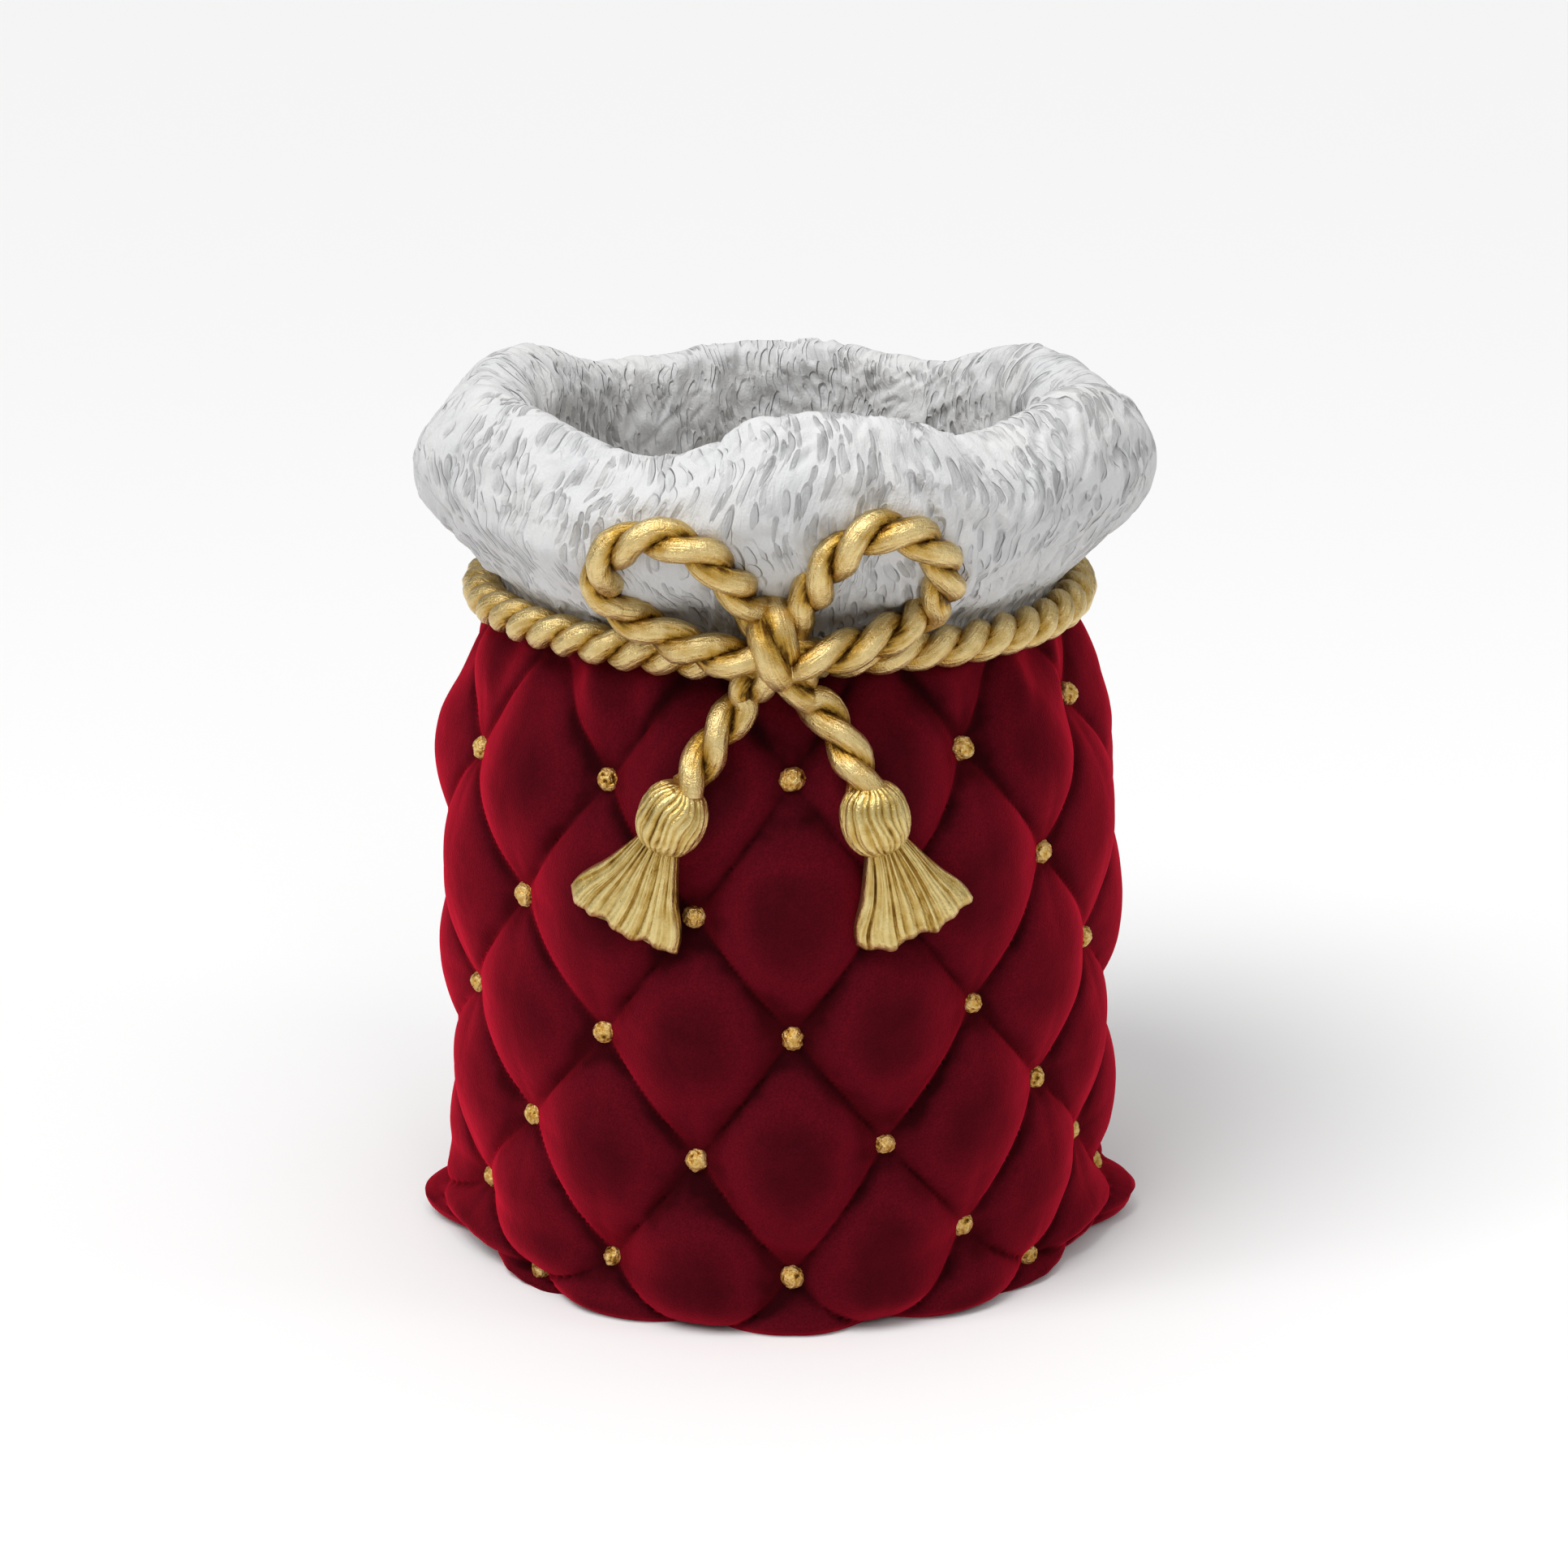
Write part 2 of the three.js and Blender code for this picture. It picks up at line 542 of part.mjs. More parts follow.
studs.forEach((place, number) => {
  const stud = new THREE.Mesh(studGeometry(0, STUD_PROUD), gold());
  stud.name = `stud_${String(number + 1).padStart(2, '0')}`;
  placeStud(stud, place);
  sack.add(stud);
});

export default sack;
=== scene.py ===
"""Gift sack cast in resin: a flocked, quilted body with gold studs, a carved fur collar, and a
gold cord tied in a bow with two tassels. Lengths are in metres; angles run round the sack in
degrees, 0 at the front (-Y) and positive towards +X."""
import math

import bmesh
import bpy
import numpy as np
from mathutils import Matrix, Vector


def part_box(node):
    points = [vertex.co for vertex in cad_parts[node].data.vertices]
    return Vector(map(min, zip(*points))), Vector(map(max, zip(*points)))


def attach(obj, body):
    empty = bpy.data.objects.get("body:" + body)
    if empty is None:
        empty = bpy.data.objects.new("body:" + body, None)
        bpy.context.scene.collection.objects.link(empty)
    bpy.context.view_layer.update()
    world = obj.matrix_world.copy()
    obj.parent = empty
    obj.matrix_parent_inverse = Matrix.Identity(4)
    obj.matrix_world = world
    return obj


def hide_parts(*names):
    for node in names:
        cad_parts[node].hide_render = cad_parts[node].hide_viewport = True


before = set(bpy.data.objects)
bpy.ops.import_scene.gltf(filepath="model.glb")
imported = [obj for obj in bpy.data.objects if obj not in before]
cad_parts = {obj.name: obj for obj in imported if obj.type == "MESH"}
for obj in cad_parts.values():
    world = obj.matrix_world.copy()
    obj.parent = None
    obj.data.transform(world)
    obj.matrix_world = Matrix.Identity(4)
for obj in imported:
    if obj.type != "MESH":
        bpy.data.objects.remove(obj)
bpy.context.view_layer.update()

MM = 0.001
CLEARANCE = 0.3 * MM  # the gap between neighbouring solids


# ---------------------------------------------------------------- sizes, from the frame

def middle(node_name):
    """The middle of a solid's box."""
    low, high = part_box(node_name)
    return (Vector(low) + Vector(high)) / 2


def extent(node_name):
    """The size of a solid's box."""
    low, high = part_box(node_name)
    return Vector(high) - Vector(low)


CORD_RADIUS = extent("neck_cord").z / 2
CORD_HEIGHT = middle("neck_cord").z
CORD_RING_RADIUS = extent("neck_cord").y / 2 - CORD_RADIUS
NECK_RADIUS = CORD_RING_RADIUS - CORD_RADIUS - CLEARANCE
BELLY_RADIUS = 91.3 * MM
WALL = 4.5 * MM
FLOOR_THICKNESS = 7 * MM
MOUTH_RADIUS = NECK_RADIUS - WALL
CAVITY_RADIUS = 77 * MM
CAVITY_CORNER = 6 * MM
STUD_NODES = sorted(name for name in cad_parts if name.startswith("stud_"))

# The quilting's lattice, as on the solid model: rows of studs that climb by one row in each turn.
STUDS_PER_TURN = 9.5
ROWS = 4
TOP_ROW_HEIGHT = CORD_HEIGHT - 29.3 * MM
BOTTOM_ROW_HEIGHT = 15 * MM
ROW_DROP = (TOP_ROW_HEIGHT - BOTTOM_ROW_HEIGHT) / ROWS
HEM_CROWDING = 23 * MM  # below the bottom row the next ones close up within this height
SIDE_LIFT = 13 * MM  # how far the bottom row climbs at the two sides
SIDE_LIFT_REACH = 80 * MM
ANGLE_WARP = 8.5  # degrees by which the studs crowd towards one side
ANGLE_WARP_CENTRE = 15
SETTLING_ROUNDS = 10


# ---------------------------------------------------------------- small tools

def smooth_step(value, low, high):
    """Rises smoothly from 0 at low to 1 at high."""
    share = np.clip((np.asarray(value, float) - low) / (high - low), 0, 1)
    return share * share * (3 - 2 * share)


def smooth_through(stations, at):
    """A curve through (position, value) stations that never overshoots them."""
    place, value = np.array(stations, float).T
    slope = np.diff(value) / np.diff(place)
    lean = np.zeros(len(place))
    same_way = slope[1:] * slope[:-1] > 0
    total = np.where(same_way, slope[1:] + slope[:-1], 1)
    lean[1:-1] = np.where(same_way, 2 * slope[1:] * slope[:-1] / total, 0)
    lean[0], lean[-1] = slope[0], slope[-1]
    at = np.clip(np.asarray(at, float), place[0], place[-1])
    low = np.clip(np.searchsorted(place, at) - 1, 0, len(place) - 2)
    span = place[low + 1] - place[low]
    t = (at - place[low]) / span
    start = (1 + 2 * t) * (1 - t) ** 2 * value[low] + t * (1 - t) ** 2 * span * lean[low]
    end = t * t * (3 - 2 * t) * value[low + 1] - t * t * (1 - t) * span * lean[low + 1]
    return start + end


def around(angle, radius, height):
    """Points at an angle round the sack, a distance from its axis and a height."""
    turn = np.radians(angle)
    return np.stack([radius * np.sin(turn), -radius * np.cos(turn), height + 0 * turn], axis=-1)


def soft_noise(shape, cells, seed):
    """Smooth random values from -1 to 1 on a grid; wraps along its first axis."""
    random = np.random.default_rng(seed)
    coarse = random.uniform(-1, 1, cells)
    grid = np.concatenate([coarse, coarse[:1]], axis=0)
    for axis, last in ((0, shape[0]), (1, shape[1] - 1)):
        count = shape[axis]
        steps = grid.shape[axis] - 1
        at = np.arange(count) * steps / last
        low = np.minimum(np.floor(at).astype(int), steps - 1)
        share = smooth_step(at - low, 0, 1)
        share = share[:, None] if axis == 0 else share[None, :]
        grid = np.take(grid, low, axis) * (1 - share) + np.take(grid, low + 1, axis) * share
    return grid


def placed(name, data):
    """A new object for a mesh, a curve, a camera or a light, linked into the scene."""
    made = bpy.data.objects.new(name, data)
    bpy.context.scene.collection.objects.link(made)
    return made


def shell(name, rings, closed_section=False):
    """A closed skin over rings of points: rings[ring][column]. The columns run round and close.
    The rings close too if the section is closed; otherwise each end gets a fan to its middle."""
    count, columns = rings.shape[:2]
    points = rings.reshape(-1, 3)
    ring = np.arange(count if closed_section else count - 1)[:, None]
    column = np.arange(columns)[None, :]
    beside = (column + 1) % columns
    above = (ring + 1) % count
    quads = np.stack([ring * columns + column, ring * columns + beside,
                      above * columns + beside, above * columns + column], axis=-1).reshape(-1, 4)
    faces = quads.tolist()
    if not closed_section:
        points = np.concatenate([points, rings[0].mean(0)[None], rings[-1].mean(0)[None]])
        first, last = count * columns, count * columns + 1
        top = (count - 1) * columns
        faces += [(first, (c + 1) % columns, c) for c in range(columns)]
        faces += [(last, top + c, top + (c + 1) % columns) for c in range(columns)]
    mesh = bpy.data.meshes.new(name)
    mesh.from_pydata(points.tolist(), [], faces)
    mesh.shade_smooth()
    return placed(name, mesh)


def face_outwards(piece):
    """Turns every face of a closed skin outwards."""
    work = bmesh.new()
    work.from_mesh(piece.data)
    bmesh.ops.recalc_face_normals(work, faces=work.faces)
    work.to_mesh(piece.data)
    work.free()


def straight_values(piece, places):
    """Stores where each point would be if the piece were laid out straight along Z."""
    attribute = piece.data.attributes.new("straight", "FLOAT_VECTOR", "POINT")
    full = np.zeros((len(piece.data.vertices), 3), np.float32)
    full[:places.size // 3] = places.reshape(-1, 3)
    attribute.data.foreach_set("vector", full.ravel())


def point_values(piece, name, values, fill=0.0):
    """Stores one number per point, for a node tree or a material to read."""
    attribute = piece.data.attributes.new(name, "FLOAT", "POINT")
    full = np.full(len(piece.data.vertices), fill, np.float32)
    full[:np.size(values)] = np.ravel(values)
    attribute.data.foreach_set("value", full)


def node(tree, kind, inputs=None, **settings):
    """Adds a node with its settings. inputs maps a socket's name or number to a value, or to a
    node or an output that is linked to it."""
    made = tree.nodes.new(kind)
    for setting, value in settings.items():
        setattr(made, setting, value)
    for key, value in (inputs or {}).items():
        if isinstance(value, bpy.types.Node):
            tree.links.new(value.outputs[0], made.inputs[key])
        elif isinstance(value, bpy.types.NodeSocket):
            tree.links.new(value, made.inputs[key])
        else:
            made.inputs[key].default_value = value
    return made


def new_tree(name, sizes):
    """A geometry tree with a Geometry input and output, and one named input for each size."""
    tree = bpy.data.node_groups.new(name, "GeometryNodeTree")
    tree.is_modifier = True
    tree.interface.new_socket("Geometry", in_out="INPUT", socket_type="NodeSocketGeometry")
    tree.interface.new_socket("Geometry", in_out="OUTPUT", socket_type="NodeSocketGeometry")
    for size, value in sizes.items():
        kind = "NodeSocketInt" if isinstance(value, int) else "NodeSocketFloat"
        tree.interface.new_socket(size, in_out="INPUT", socket_type=kind).default_value = value
    return tree, tree.nodes.new("NodeGroupInput")


def close_tree(tree, geometry, material, bare=None, bare_material=None):
    """Ends a tree: instances made real, the finish set, and the result handed on. Faces on
    which the bare field is true get the second finish."""
    real = node(tree, "GeometryNodeRealizeInstances", {"Geometry": geometry})
    finished = node(tree, "GeometryNodeSetMaterial", {"Geometry": real, "Material": material})
    if bare:
        finished = node(tree, "GeometryNodeSetMaterial", {"Geometry": finished, "Selection": bare,
                        "Material": bare_material})
    node(tree, "NodeGroupOutput", {0: finished})


def grown(piece, tree, **sizes):
    """The plain mesh that a geometry tree makes from a piece; sizes are the tree's own inputs."""
    modifier = piece.modifiers.new("grow", "NODES")
    modifier.node_group = tree
    for socket in tree.interface.items_tree:
        size = socket.name.replace(" ", "_").lower()
        if socket.in_out == "INPUT" and size in sizes:
            modifier[socket.identifier] = sizes[size]
    depsgraph = bpy.context.evaluated_depsgraph_get()
    mesh = bpy.data.meshes.new_from_object(piece.evaluated_get(depsgraph))
    name = piece.name
    bpy.data.objects.remove(piece)
    return placed(name, mesh)


# ---------------------------------------------------------------- finishes

def colour(code):
    """An sRGB hex colour as the linear colour that the shader wants."""
    parts = [int(code[i:i + 2], 16) / 255 for i in (1, 3, 5)]
    return [p / 12.92 if p <= 0.04045 else ((p + 0.055) / 1.055) ** 2.4 for p in parts] + [1]


def new_finish(name, **sockets):
    """A material and its shader, with the constants set on the shader's own sockets."""
    material = bpy.data.materials.new(name)
    material.use_nodes = True
    tree = material.node_tree
    shader = tree.nodes["Principled BSDF"]
    for socket, value in sockets.items():
        shader.inputs[socket.replace("_", " ")].default_value = value
    return material, tree, shader


def flocked_velvet():
    """Nylon flock, 0.6 mm fibres shot upright into glue: matte, with painted shade that makes it
    nearly black-red where the pillows face out and darkest in the seams, painted sheen that makes
    it redder on their flanks, and a bright red shader sheen where it turns away."""
    material, tree, shader = new_finish(
        "flocked_velvet", Roughness=0.95, Specular_IOR_Level=0.05, Sheen_Weight=1.0,
        Sheen_Roughness=0.5, Sheen_Tint=colour("#ee1c3c"), IOR=1.5)
    place = node(tree, "ShaderNodeTexCoord").outputs["Object"]
    pillow = node(tree, "ShaderNodeAttribute", attribute_name="pillow").outputs["Fac"]
    leaning = node(tree, "ShaderNodeTexNoise", {"Vector": place, "Scale": 1 / (15 * MM), "Detail": 3})
    fibres = node(tree, "ShaderNodeTexNoise", {"Vector": place, "Scale": 1 / (0.5 * MM), "Detail": 2})
    shifted = node(tree, "ShaderNodeMath", {0: leaning, 1: -0.5}, operation="ADD")
    shade_and_sheen_level = node(tree, "ShaderNodeMath", {0: shifted, 1: 0.9, 2: pillow}, operation="MULTIPLY_ADD")
    # Painted shade darkens the seams and the pillow tops, and painted sheen brightens the flanks, all by
    # the pillow value; the leaning noise shifts it at random.
    tone = node(tree, "ShaderNodeValToRGB", {0: shade_and_sheen_level})
    ramp = tone.color_ramp
    ramp.elements[0].position, ramp.elements[0].color = 0.02, colour("#100103")
    ramp.elements[1].position, ramp.elements[1].color = 1.0, colour("#2f040b")
    ramp.elements.new(0.22).color = colour("#420611")
    ramp.elements.new(0.5).color = colour("#4c0712")
    dark = node(tree, "ShaderNodeMapRange", {0: fibres, 1: 0.3, 2: 0.7, 3: 0.62, 4: 1.3})
    speckled = node(tree, "ShaderNodeVectorMath", {0: tone.outputs["Color"], 1: dark}, operation="MULTIPLY")
    ruffle = node(tree, "ShaderNodeMath", {0: leaning, 1: 6.0, 2: fibres}, operation="MULTIPLY_ADD")
    nap = node(tree, "ShaderNodeBump", {"Height": ruffle, "Strength": 0.4, "Distance": 0.3 * MM})
    tree.links.new(speckled.outputs[0], shader.inputs["Base Color"])
    tree.links.new(nap.outputs[0], shader.inputs["Normal"])
    return material


def bare_resin():
    """Unpainted casting resin inside the body and under it: flat, pale grey-cream, faintly
    cloudy, with fine pits."""
    material, tree, shader = new_finish(
        "bare_casting_resin", Roughness=0.6, Specular_IOR_Level=0.4, IOR=1.5)
    place = node(tree, "ShaderNodeTexCoord").outputs["Object"]
    clouds = node(tree, "ShaderNodeTexNoise", {"Vector": place, "Scale": 1 / (25 * MM), "Detail": 3})
    pits = node(tree, "ShaderNodeTexNoise", {"Vector": place, "Scale": 1 / (1.2 * MM), "Detail": 2})
    paint = node(tree, "ShaderNodeMix", {0: clouds, 6: colour("#b9b3a8"), 7: colour("#cfcabf")},
                 data_type="RGBA")
    pitted = node(tree, "ShaderNodeBump", {"Height": pits, "Strength": 0.3, "Distance": 0.3 * MM})
    tree.links.new(paint.outputs[2], shader.inputs["Base Color"])
    tree.links.new(pitted.outputs[0], shader.inputs["Normal"])
    return material


# Width and length in millimetres of the two kinds of small knife cut, and their share of depth.
KNIFE_CUTS = [(3.3, 10.0, 1.0), (2.0, 7.0, 0.7)]


def carved_resin():
    """Matte white paint on carved casting resin: chalky, with small knife cuts that follow the
    carving, each steep on one side and darkened grey inside as painted shade, and faint brush ridges."""
    material, tree, shader = new_finish(
        "carved_white_resin", Roughness=0.75, Specular_IOR_Level=0.35, IOR=1.5)
    place = node(tree, "ShaderNodeTexCoord").outputs["Object"]
    comb = node(tree, "ShaderNodeUVMap", uv_map="comb")
    drift = node(tree, "ShaderNodeTexNoise", {"Vector": comb, "Scale": 1 / (24 * MM), "Detail": 1})
    swirl = node(tree, "ShaderNodeVectorMath", {0: drift.outputs["Color"],
                 1: (15 * MM, 6 * MM, 0), 2: comb}, operation="MULTIPLY_ADD")
    groups = node(tree, "ShaderNodeTexNoise", {"Vector": place, "Scale": 1 / (13 * MM), "Detail": 2})
    busy = node(tree, "ShaderNodeMapRange", {0: groups, 1: 0.34, 2: 0.52})
    layers = []
    for width, length, depth in KNIFE_CUTS:
        cell = node(tree, "ShaderNodeMapping", {"Vector": swirl,
                    "Scale": (1 / (width * MM), 1 / (length * MM), 1), "Location": (length, width, 0)})
        cut = node(tree, "ShaderNodeTexVoronoi", {"Vector": cell, "Scale": 1.0, "Randomness": 1.0},
                   voronoi_dimensions="2D", feature="F1")
        chance = node(tree, "ShaderNodeSeparateColor", {0: cut.outputs["Color"]})
        chosen = node(tree, "ShaderNodeMapRange", {0: chance.outputs[0], 1: 0.25, 2: 0.6})
        bowl = node(tree, "ShaderNodeMapRange", {0: cut.outputs["Distance"], 1: 0.46, 2: 0.34})
        away = node(tree, "ShaderNodeVectorMath", {0: cell, 1: cut.outputs["Position"]},
                    operation="SUBTRACT")
        sides = node(tree, "ShaderNodeSeparateXYZ", {0: away})
        steep = node(tree, "ShaderNodeMapRange", {0: sides.outputs[0], 1: -0.38, 2: 0.3, 3: 0.0,
                     4: depth})
        shaped = node(tree, "ShaderNodeMath", {0: bowl, 1: steep}, operation="MULTIPLY")
        layers.append(node(tree, "ShaderNodeMath", {0: shaped, 1: chosen}, operation="MULTIPLY"))
    both = node(tree, "ShaderNodeMath", {0: layers[0], 1: layers[1]}, operation="MAXIMUM")
    cuts = node(tree, "ShaderNodeMath", {0: both, 1: busy}, operation="MULTIPLY")
    hairs = node(tree, "ShaderNodeMapping", {"Vector": swirl, "Scale": (1 / (1.3 * MM), 1 / (9 * MM), 1)})
    bristles = node(tree, "ShaderNodeTexNoise", {"Vector": hairs, "Scale": 1.0, "Detail": 3})
    grit = node(tree, "ShaderNodeTexNoise", {"Vector": place, "Scale": 1 / (0.6 * MM), "Detail": 2})
    ridges = node(tree, "ShaderNodeMath", {0: bristles, 1: 0.3}, operation="MULTIPLY")
    rough = node(tree, "ShaderNodeMath", {0: grit, 1: 0.1, 2: ridges}, operation="MULTIPLY_ADD")
    relief = node(tree, "ShaderNodeMath", {0: rough, 1: cuts}, operation="SUBTRACT")
    marks = node(tree, "ShaderNodeBump", {"Height": relief, "Strength": 1.0, "Distance": 1.6 * MM})
    # Painted shade: the knife cuts and the gouges' recess value mix the paint towards grey, as shade in the
    # hollows.
    recess_shade = node(tree, "ShaderNodeAttribute", attribute_name="recess_shade")
    deep = node(tree, "ShaderNodeMath", {0: cuts, 1: 0.9, 2: recess_shade.outputs["Fac"]},
                operation="MULTIPLY_ADD")
    crease_shade = node(tree, "ShaderNodeMapRange", {0: deep, 1: 0.35, 2: 1.5, 3: 0.0, 4: 0.42})
    tint = node(tree, "ShaderNodeTexNoise", {"Vector": place, "Scale": 1 / (18 * MM), "Detail": 2})
    paint = node(tree, "ShaderNodeMix", {0: tint, 6: colour("#cbccce"), 7: colour("#d6d5d3")},
                 data_type="RGBA")
    shade = node(tree, "ShaderNodeMix", {0: crease_shade, 6: paint.outputs[2], 7: colour("#8a8b8e")},
                 data_type="RGBA")
    tree.links.new(shade.outputs[2], shader.inputs["Base Color"])
    tree.links.new(marks.outputs[0], shader.inputs["Normal"])
    return material


STREAK_WIDTH = 1 * MM
STREAK_LENGTH = 7 * MM


def gold_paint(name, face, worn_and_highlight, crease_shade, gloss, depth):
    """Metallic gold paint brushed over resin: a soft metal glow broken by fine flakes and brush
    streaks, a brown antique wash together with painted shade in the creases, and a paler colour on
    the high places that is partly rubbed wear and partly a painted highlight. depth is how far the
    brush marks stand up. The piece's crown value is 0 in a crease and 1 on a ridge; its straight
    value is the place on the piece, laid out straight along Z."""
    material, tree, shader = new_finish(name, Metallic=1.0)
    place = node(tree, "ShaderNodeTexCoord").outputs["Object"]
    crown = node(tree, "ShaderNodeAttribute", attribute_name="crown").outputs["Fac"]
    straight = node(tree, "ShaderNodeAttribute", attribute_name="straight").outputs["Vector"]
    drawn = node(tree, "ShaderNodeMapping", {"Vector": straight,
                 "Scale": (1 / STREAK_WIDTH, 1 / STREAK_WIDTH, 1 / STREAK_LENGTH)})
    streaks = node(tree, "ShaderNodeTexNoise", {"Vector": drawn, "Scale": 1.0, "Detail": 4})
    patches = node(tree, "ShaderNodeTexNoise", {"Vector": place, "Scale": 1 / (4 * MM), "Detail": 4})
    flakes = node(tree, "ShaderNodeTexNoise", {"Vector": place, "Scale": 1 / (0.4 * MM), "Detail": 3})
    both = node(tree, "ShaderNodeMath", {0: patches, 1: streaks}, operation="ADD")
    uneven = node(tree, "ShaderNodeMath", {0: both, 1: -1.0}, operation="ADD")
    height = node(tree, "ShaderNodeMath", {0: uneven, 1: 1.0, 2: crown}, operation="MULTIPLY_ADD")
    # Painted shade: the brown colour darkens the creases, besides the antique wash; painted highlight: the
    # paler colour lightens the ridges, besides the rubbed wear.
    paint = node(tree, "ShaderNodeValToRGB", {0: height})
    ramp = paint.color_ramp
    ramp.elements[0].position, ramp.elements[0].color = 0.02, colour(crease_shade)
    ramp.elements[1].position, ramp.elements[1].color = 0.36, colour(face)
    ramp.elements.new(1.0).color = colour(worn_and_highlight)
    shine = node(tree, "ShaderNodeMapRange", {0: flakes, 1: 0.3, 2: 0.7, 3: gloss, 4: gloss + 0.2})
    brushed = node(tree, "ShaderNodeMath", {0: streaks, 1: 2.2, 2: flakes}, operation="MULTIPLY_ADD")
    grain = node(tree, "ShaderNodeMath", {0: patches, 1: 3.0, 2: brushed}, operation="MULTIPLY_ADD")
    lumps = node(tree, "ShaderNodeBump", {"Height": grain, "Strength": 0.8, "Distance": depth})
    tree.links.new(paint.outputs["Color"], shader.inputs["Base Color"])
    tree.links.new(shine.outputs[0], shader.inputs["Roughness"])
    tree.links.new(lumps.outputs[0], shader.inputs["Normal"])
    return material


VELVET = flocked_velvet()
BARE_RESIN = bare_resin()
RESIN = carved_resin()
# The second colour of each is rubbed wear and a painted highlight, the third brown wash and painted shade
# for the creases.
CORD_GOLD = gold_paint("gold_cord_paint", "#b8903e", "#e0c78c", "#553812", 0.24, 0.28 * MM)
TASSEL_GOLD = gold_paint("gold_tassel_paint", "#b8964a", "#ddc88a", "#6d4d1c", 0.25, 0.18 * MM)
STUD_GOLD = gold_paint("gold_stud_paint", "#cfa04a", "#ecd08c", "#5e4018", 0.34, 0.4 * MM)


# ---------------------------------------------------------------- the body

# Height and radius in millimetres over the pillow tops, from the floor to the neck.
BODY_OUTLINE = [
    (0, 85.5), (2.5, 88.3), (8, 89.3), (17, 88.8), (28, 90.2), (45, 90.5), (64, 90.6), (82, 91.3),
    (100, 91.3), (118, 91), (130, 90.4), (139, 88.6), (149, 84.6), (158, 81.2), (164, 78.6),
    (168, 76.2), (170.6, 71.6), (174.15, 71.5),
]
# The two corners of the sack that flare out at the floor, one at each side.
EAR_ANGLE = 85
EAR_SPREAD = 12
EAR_REACH = 8 * MM
EAR_HEIGHT = 5 * MM
EAR_RISE = 9 * MM
STUD_DEPTH = 7.8 * MM
SEAM_DEPTH = 5.4 * MM
BODY_COLUMNS = 512
BODY_RINGS = 150


def body_radius(angle, height):
    """Distance from the axis to the skin before it is quilted."""
    side = np.exp(-((np.abs(angle) - EAR_ANGLE) / EAR_SPREAD) ** 2)
    low = np.exp(-((height - EAR_HEIGHT) / EAR_RISE) ** 2)
    outline = [(z * MM, r * MM) for z, r in BODY_OUTLINE]
    return smooth_through(outline, height) + EAR_REACH * side * low


def even_angle(angle):
    """The angle at which a place would be if the studs were evenly spaced."""
    even = np.array(angle, float)
    for _ in range(SETTLING_ROUNDS):
        even = angle + ANGLE_WARP * np.sin(np.radians(even - ANGLE_WARP_CENTRE))
    return even


def side_lift(angle, even):
    """How far the low rows are lifted at the sides of the sack."""
    pull = 1 - smooth_step(even, BOTTOM_ROW_HEIGHT, BOTTOM_ROW_HEIGHT + SIDE_LIFT_REACH)
    return SIDE_LIFT * np.sin(np.radians(angle)) ** 2 * pull


def even_height(angle, height):
    """The height at which a place would be if the rows were level and never crowded."""
    even = np.array(height, float)
    for _ in range(SETTLING_ROUNDS):
        unlifted = height - side_lift(angle, even)
        below = np.clip((BOTTOM_ROW_HEIGHT - unlifted) / HEM_CROWDING, 0, 0.95)
        even = np.maximum(unlifted, BOTTOM_ROW_HEIGHT) + HEM_CROWDING * np.log(1 - below)
    return even


def seams(angle, height):
    """How many seams of each kind have been passed; a seam runs where either is whole."""
    turns = even_angle(angle) / 360
    row = (TOP_ROW_HEIGHT - even_height(angle, height)) / ROW_DROP + turns
    column = turns * STUDS_PER_TURN
    return column - row / 2, column + row / 2


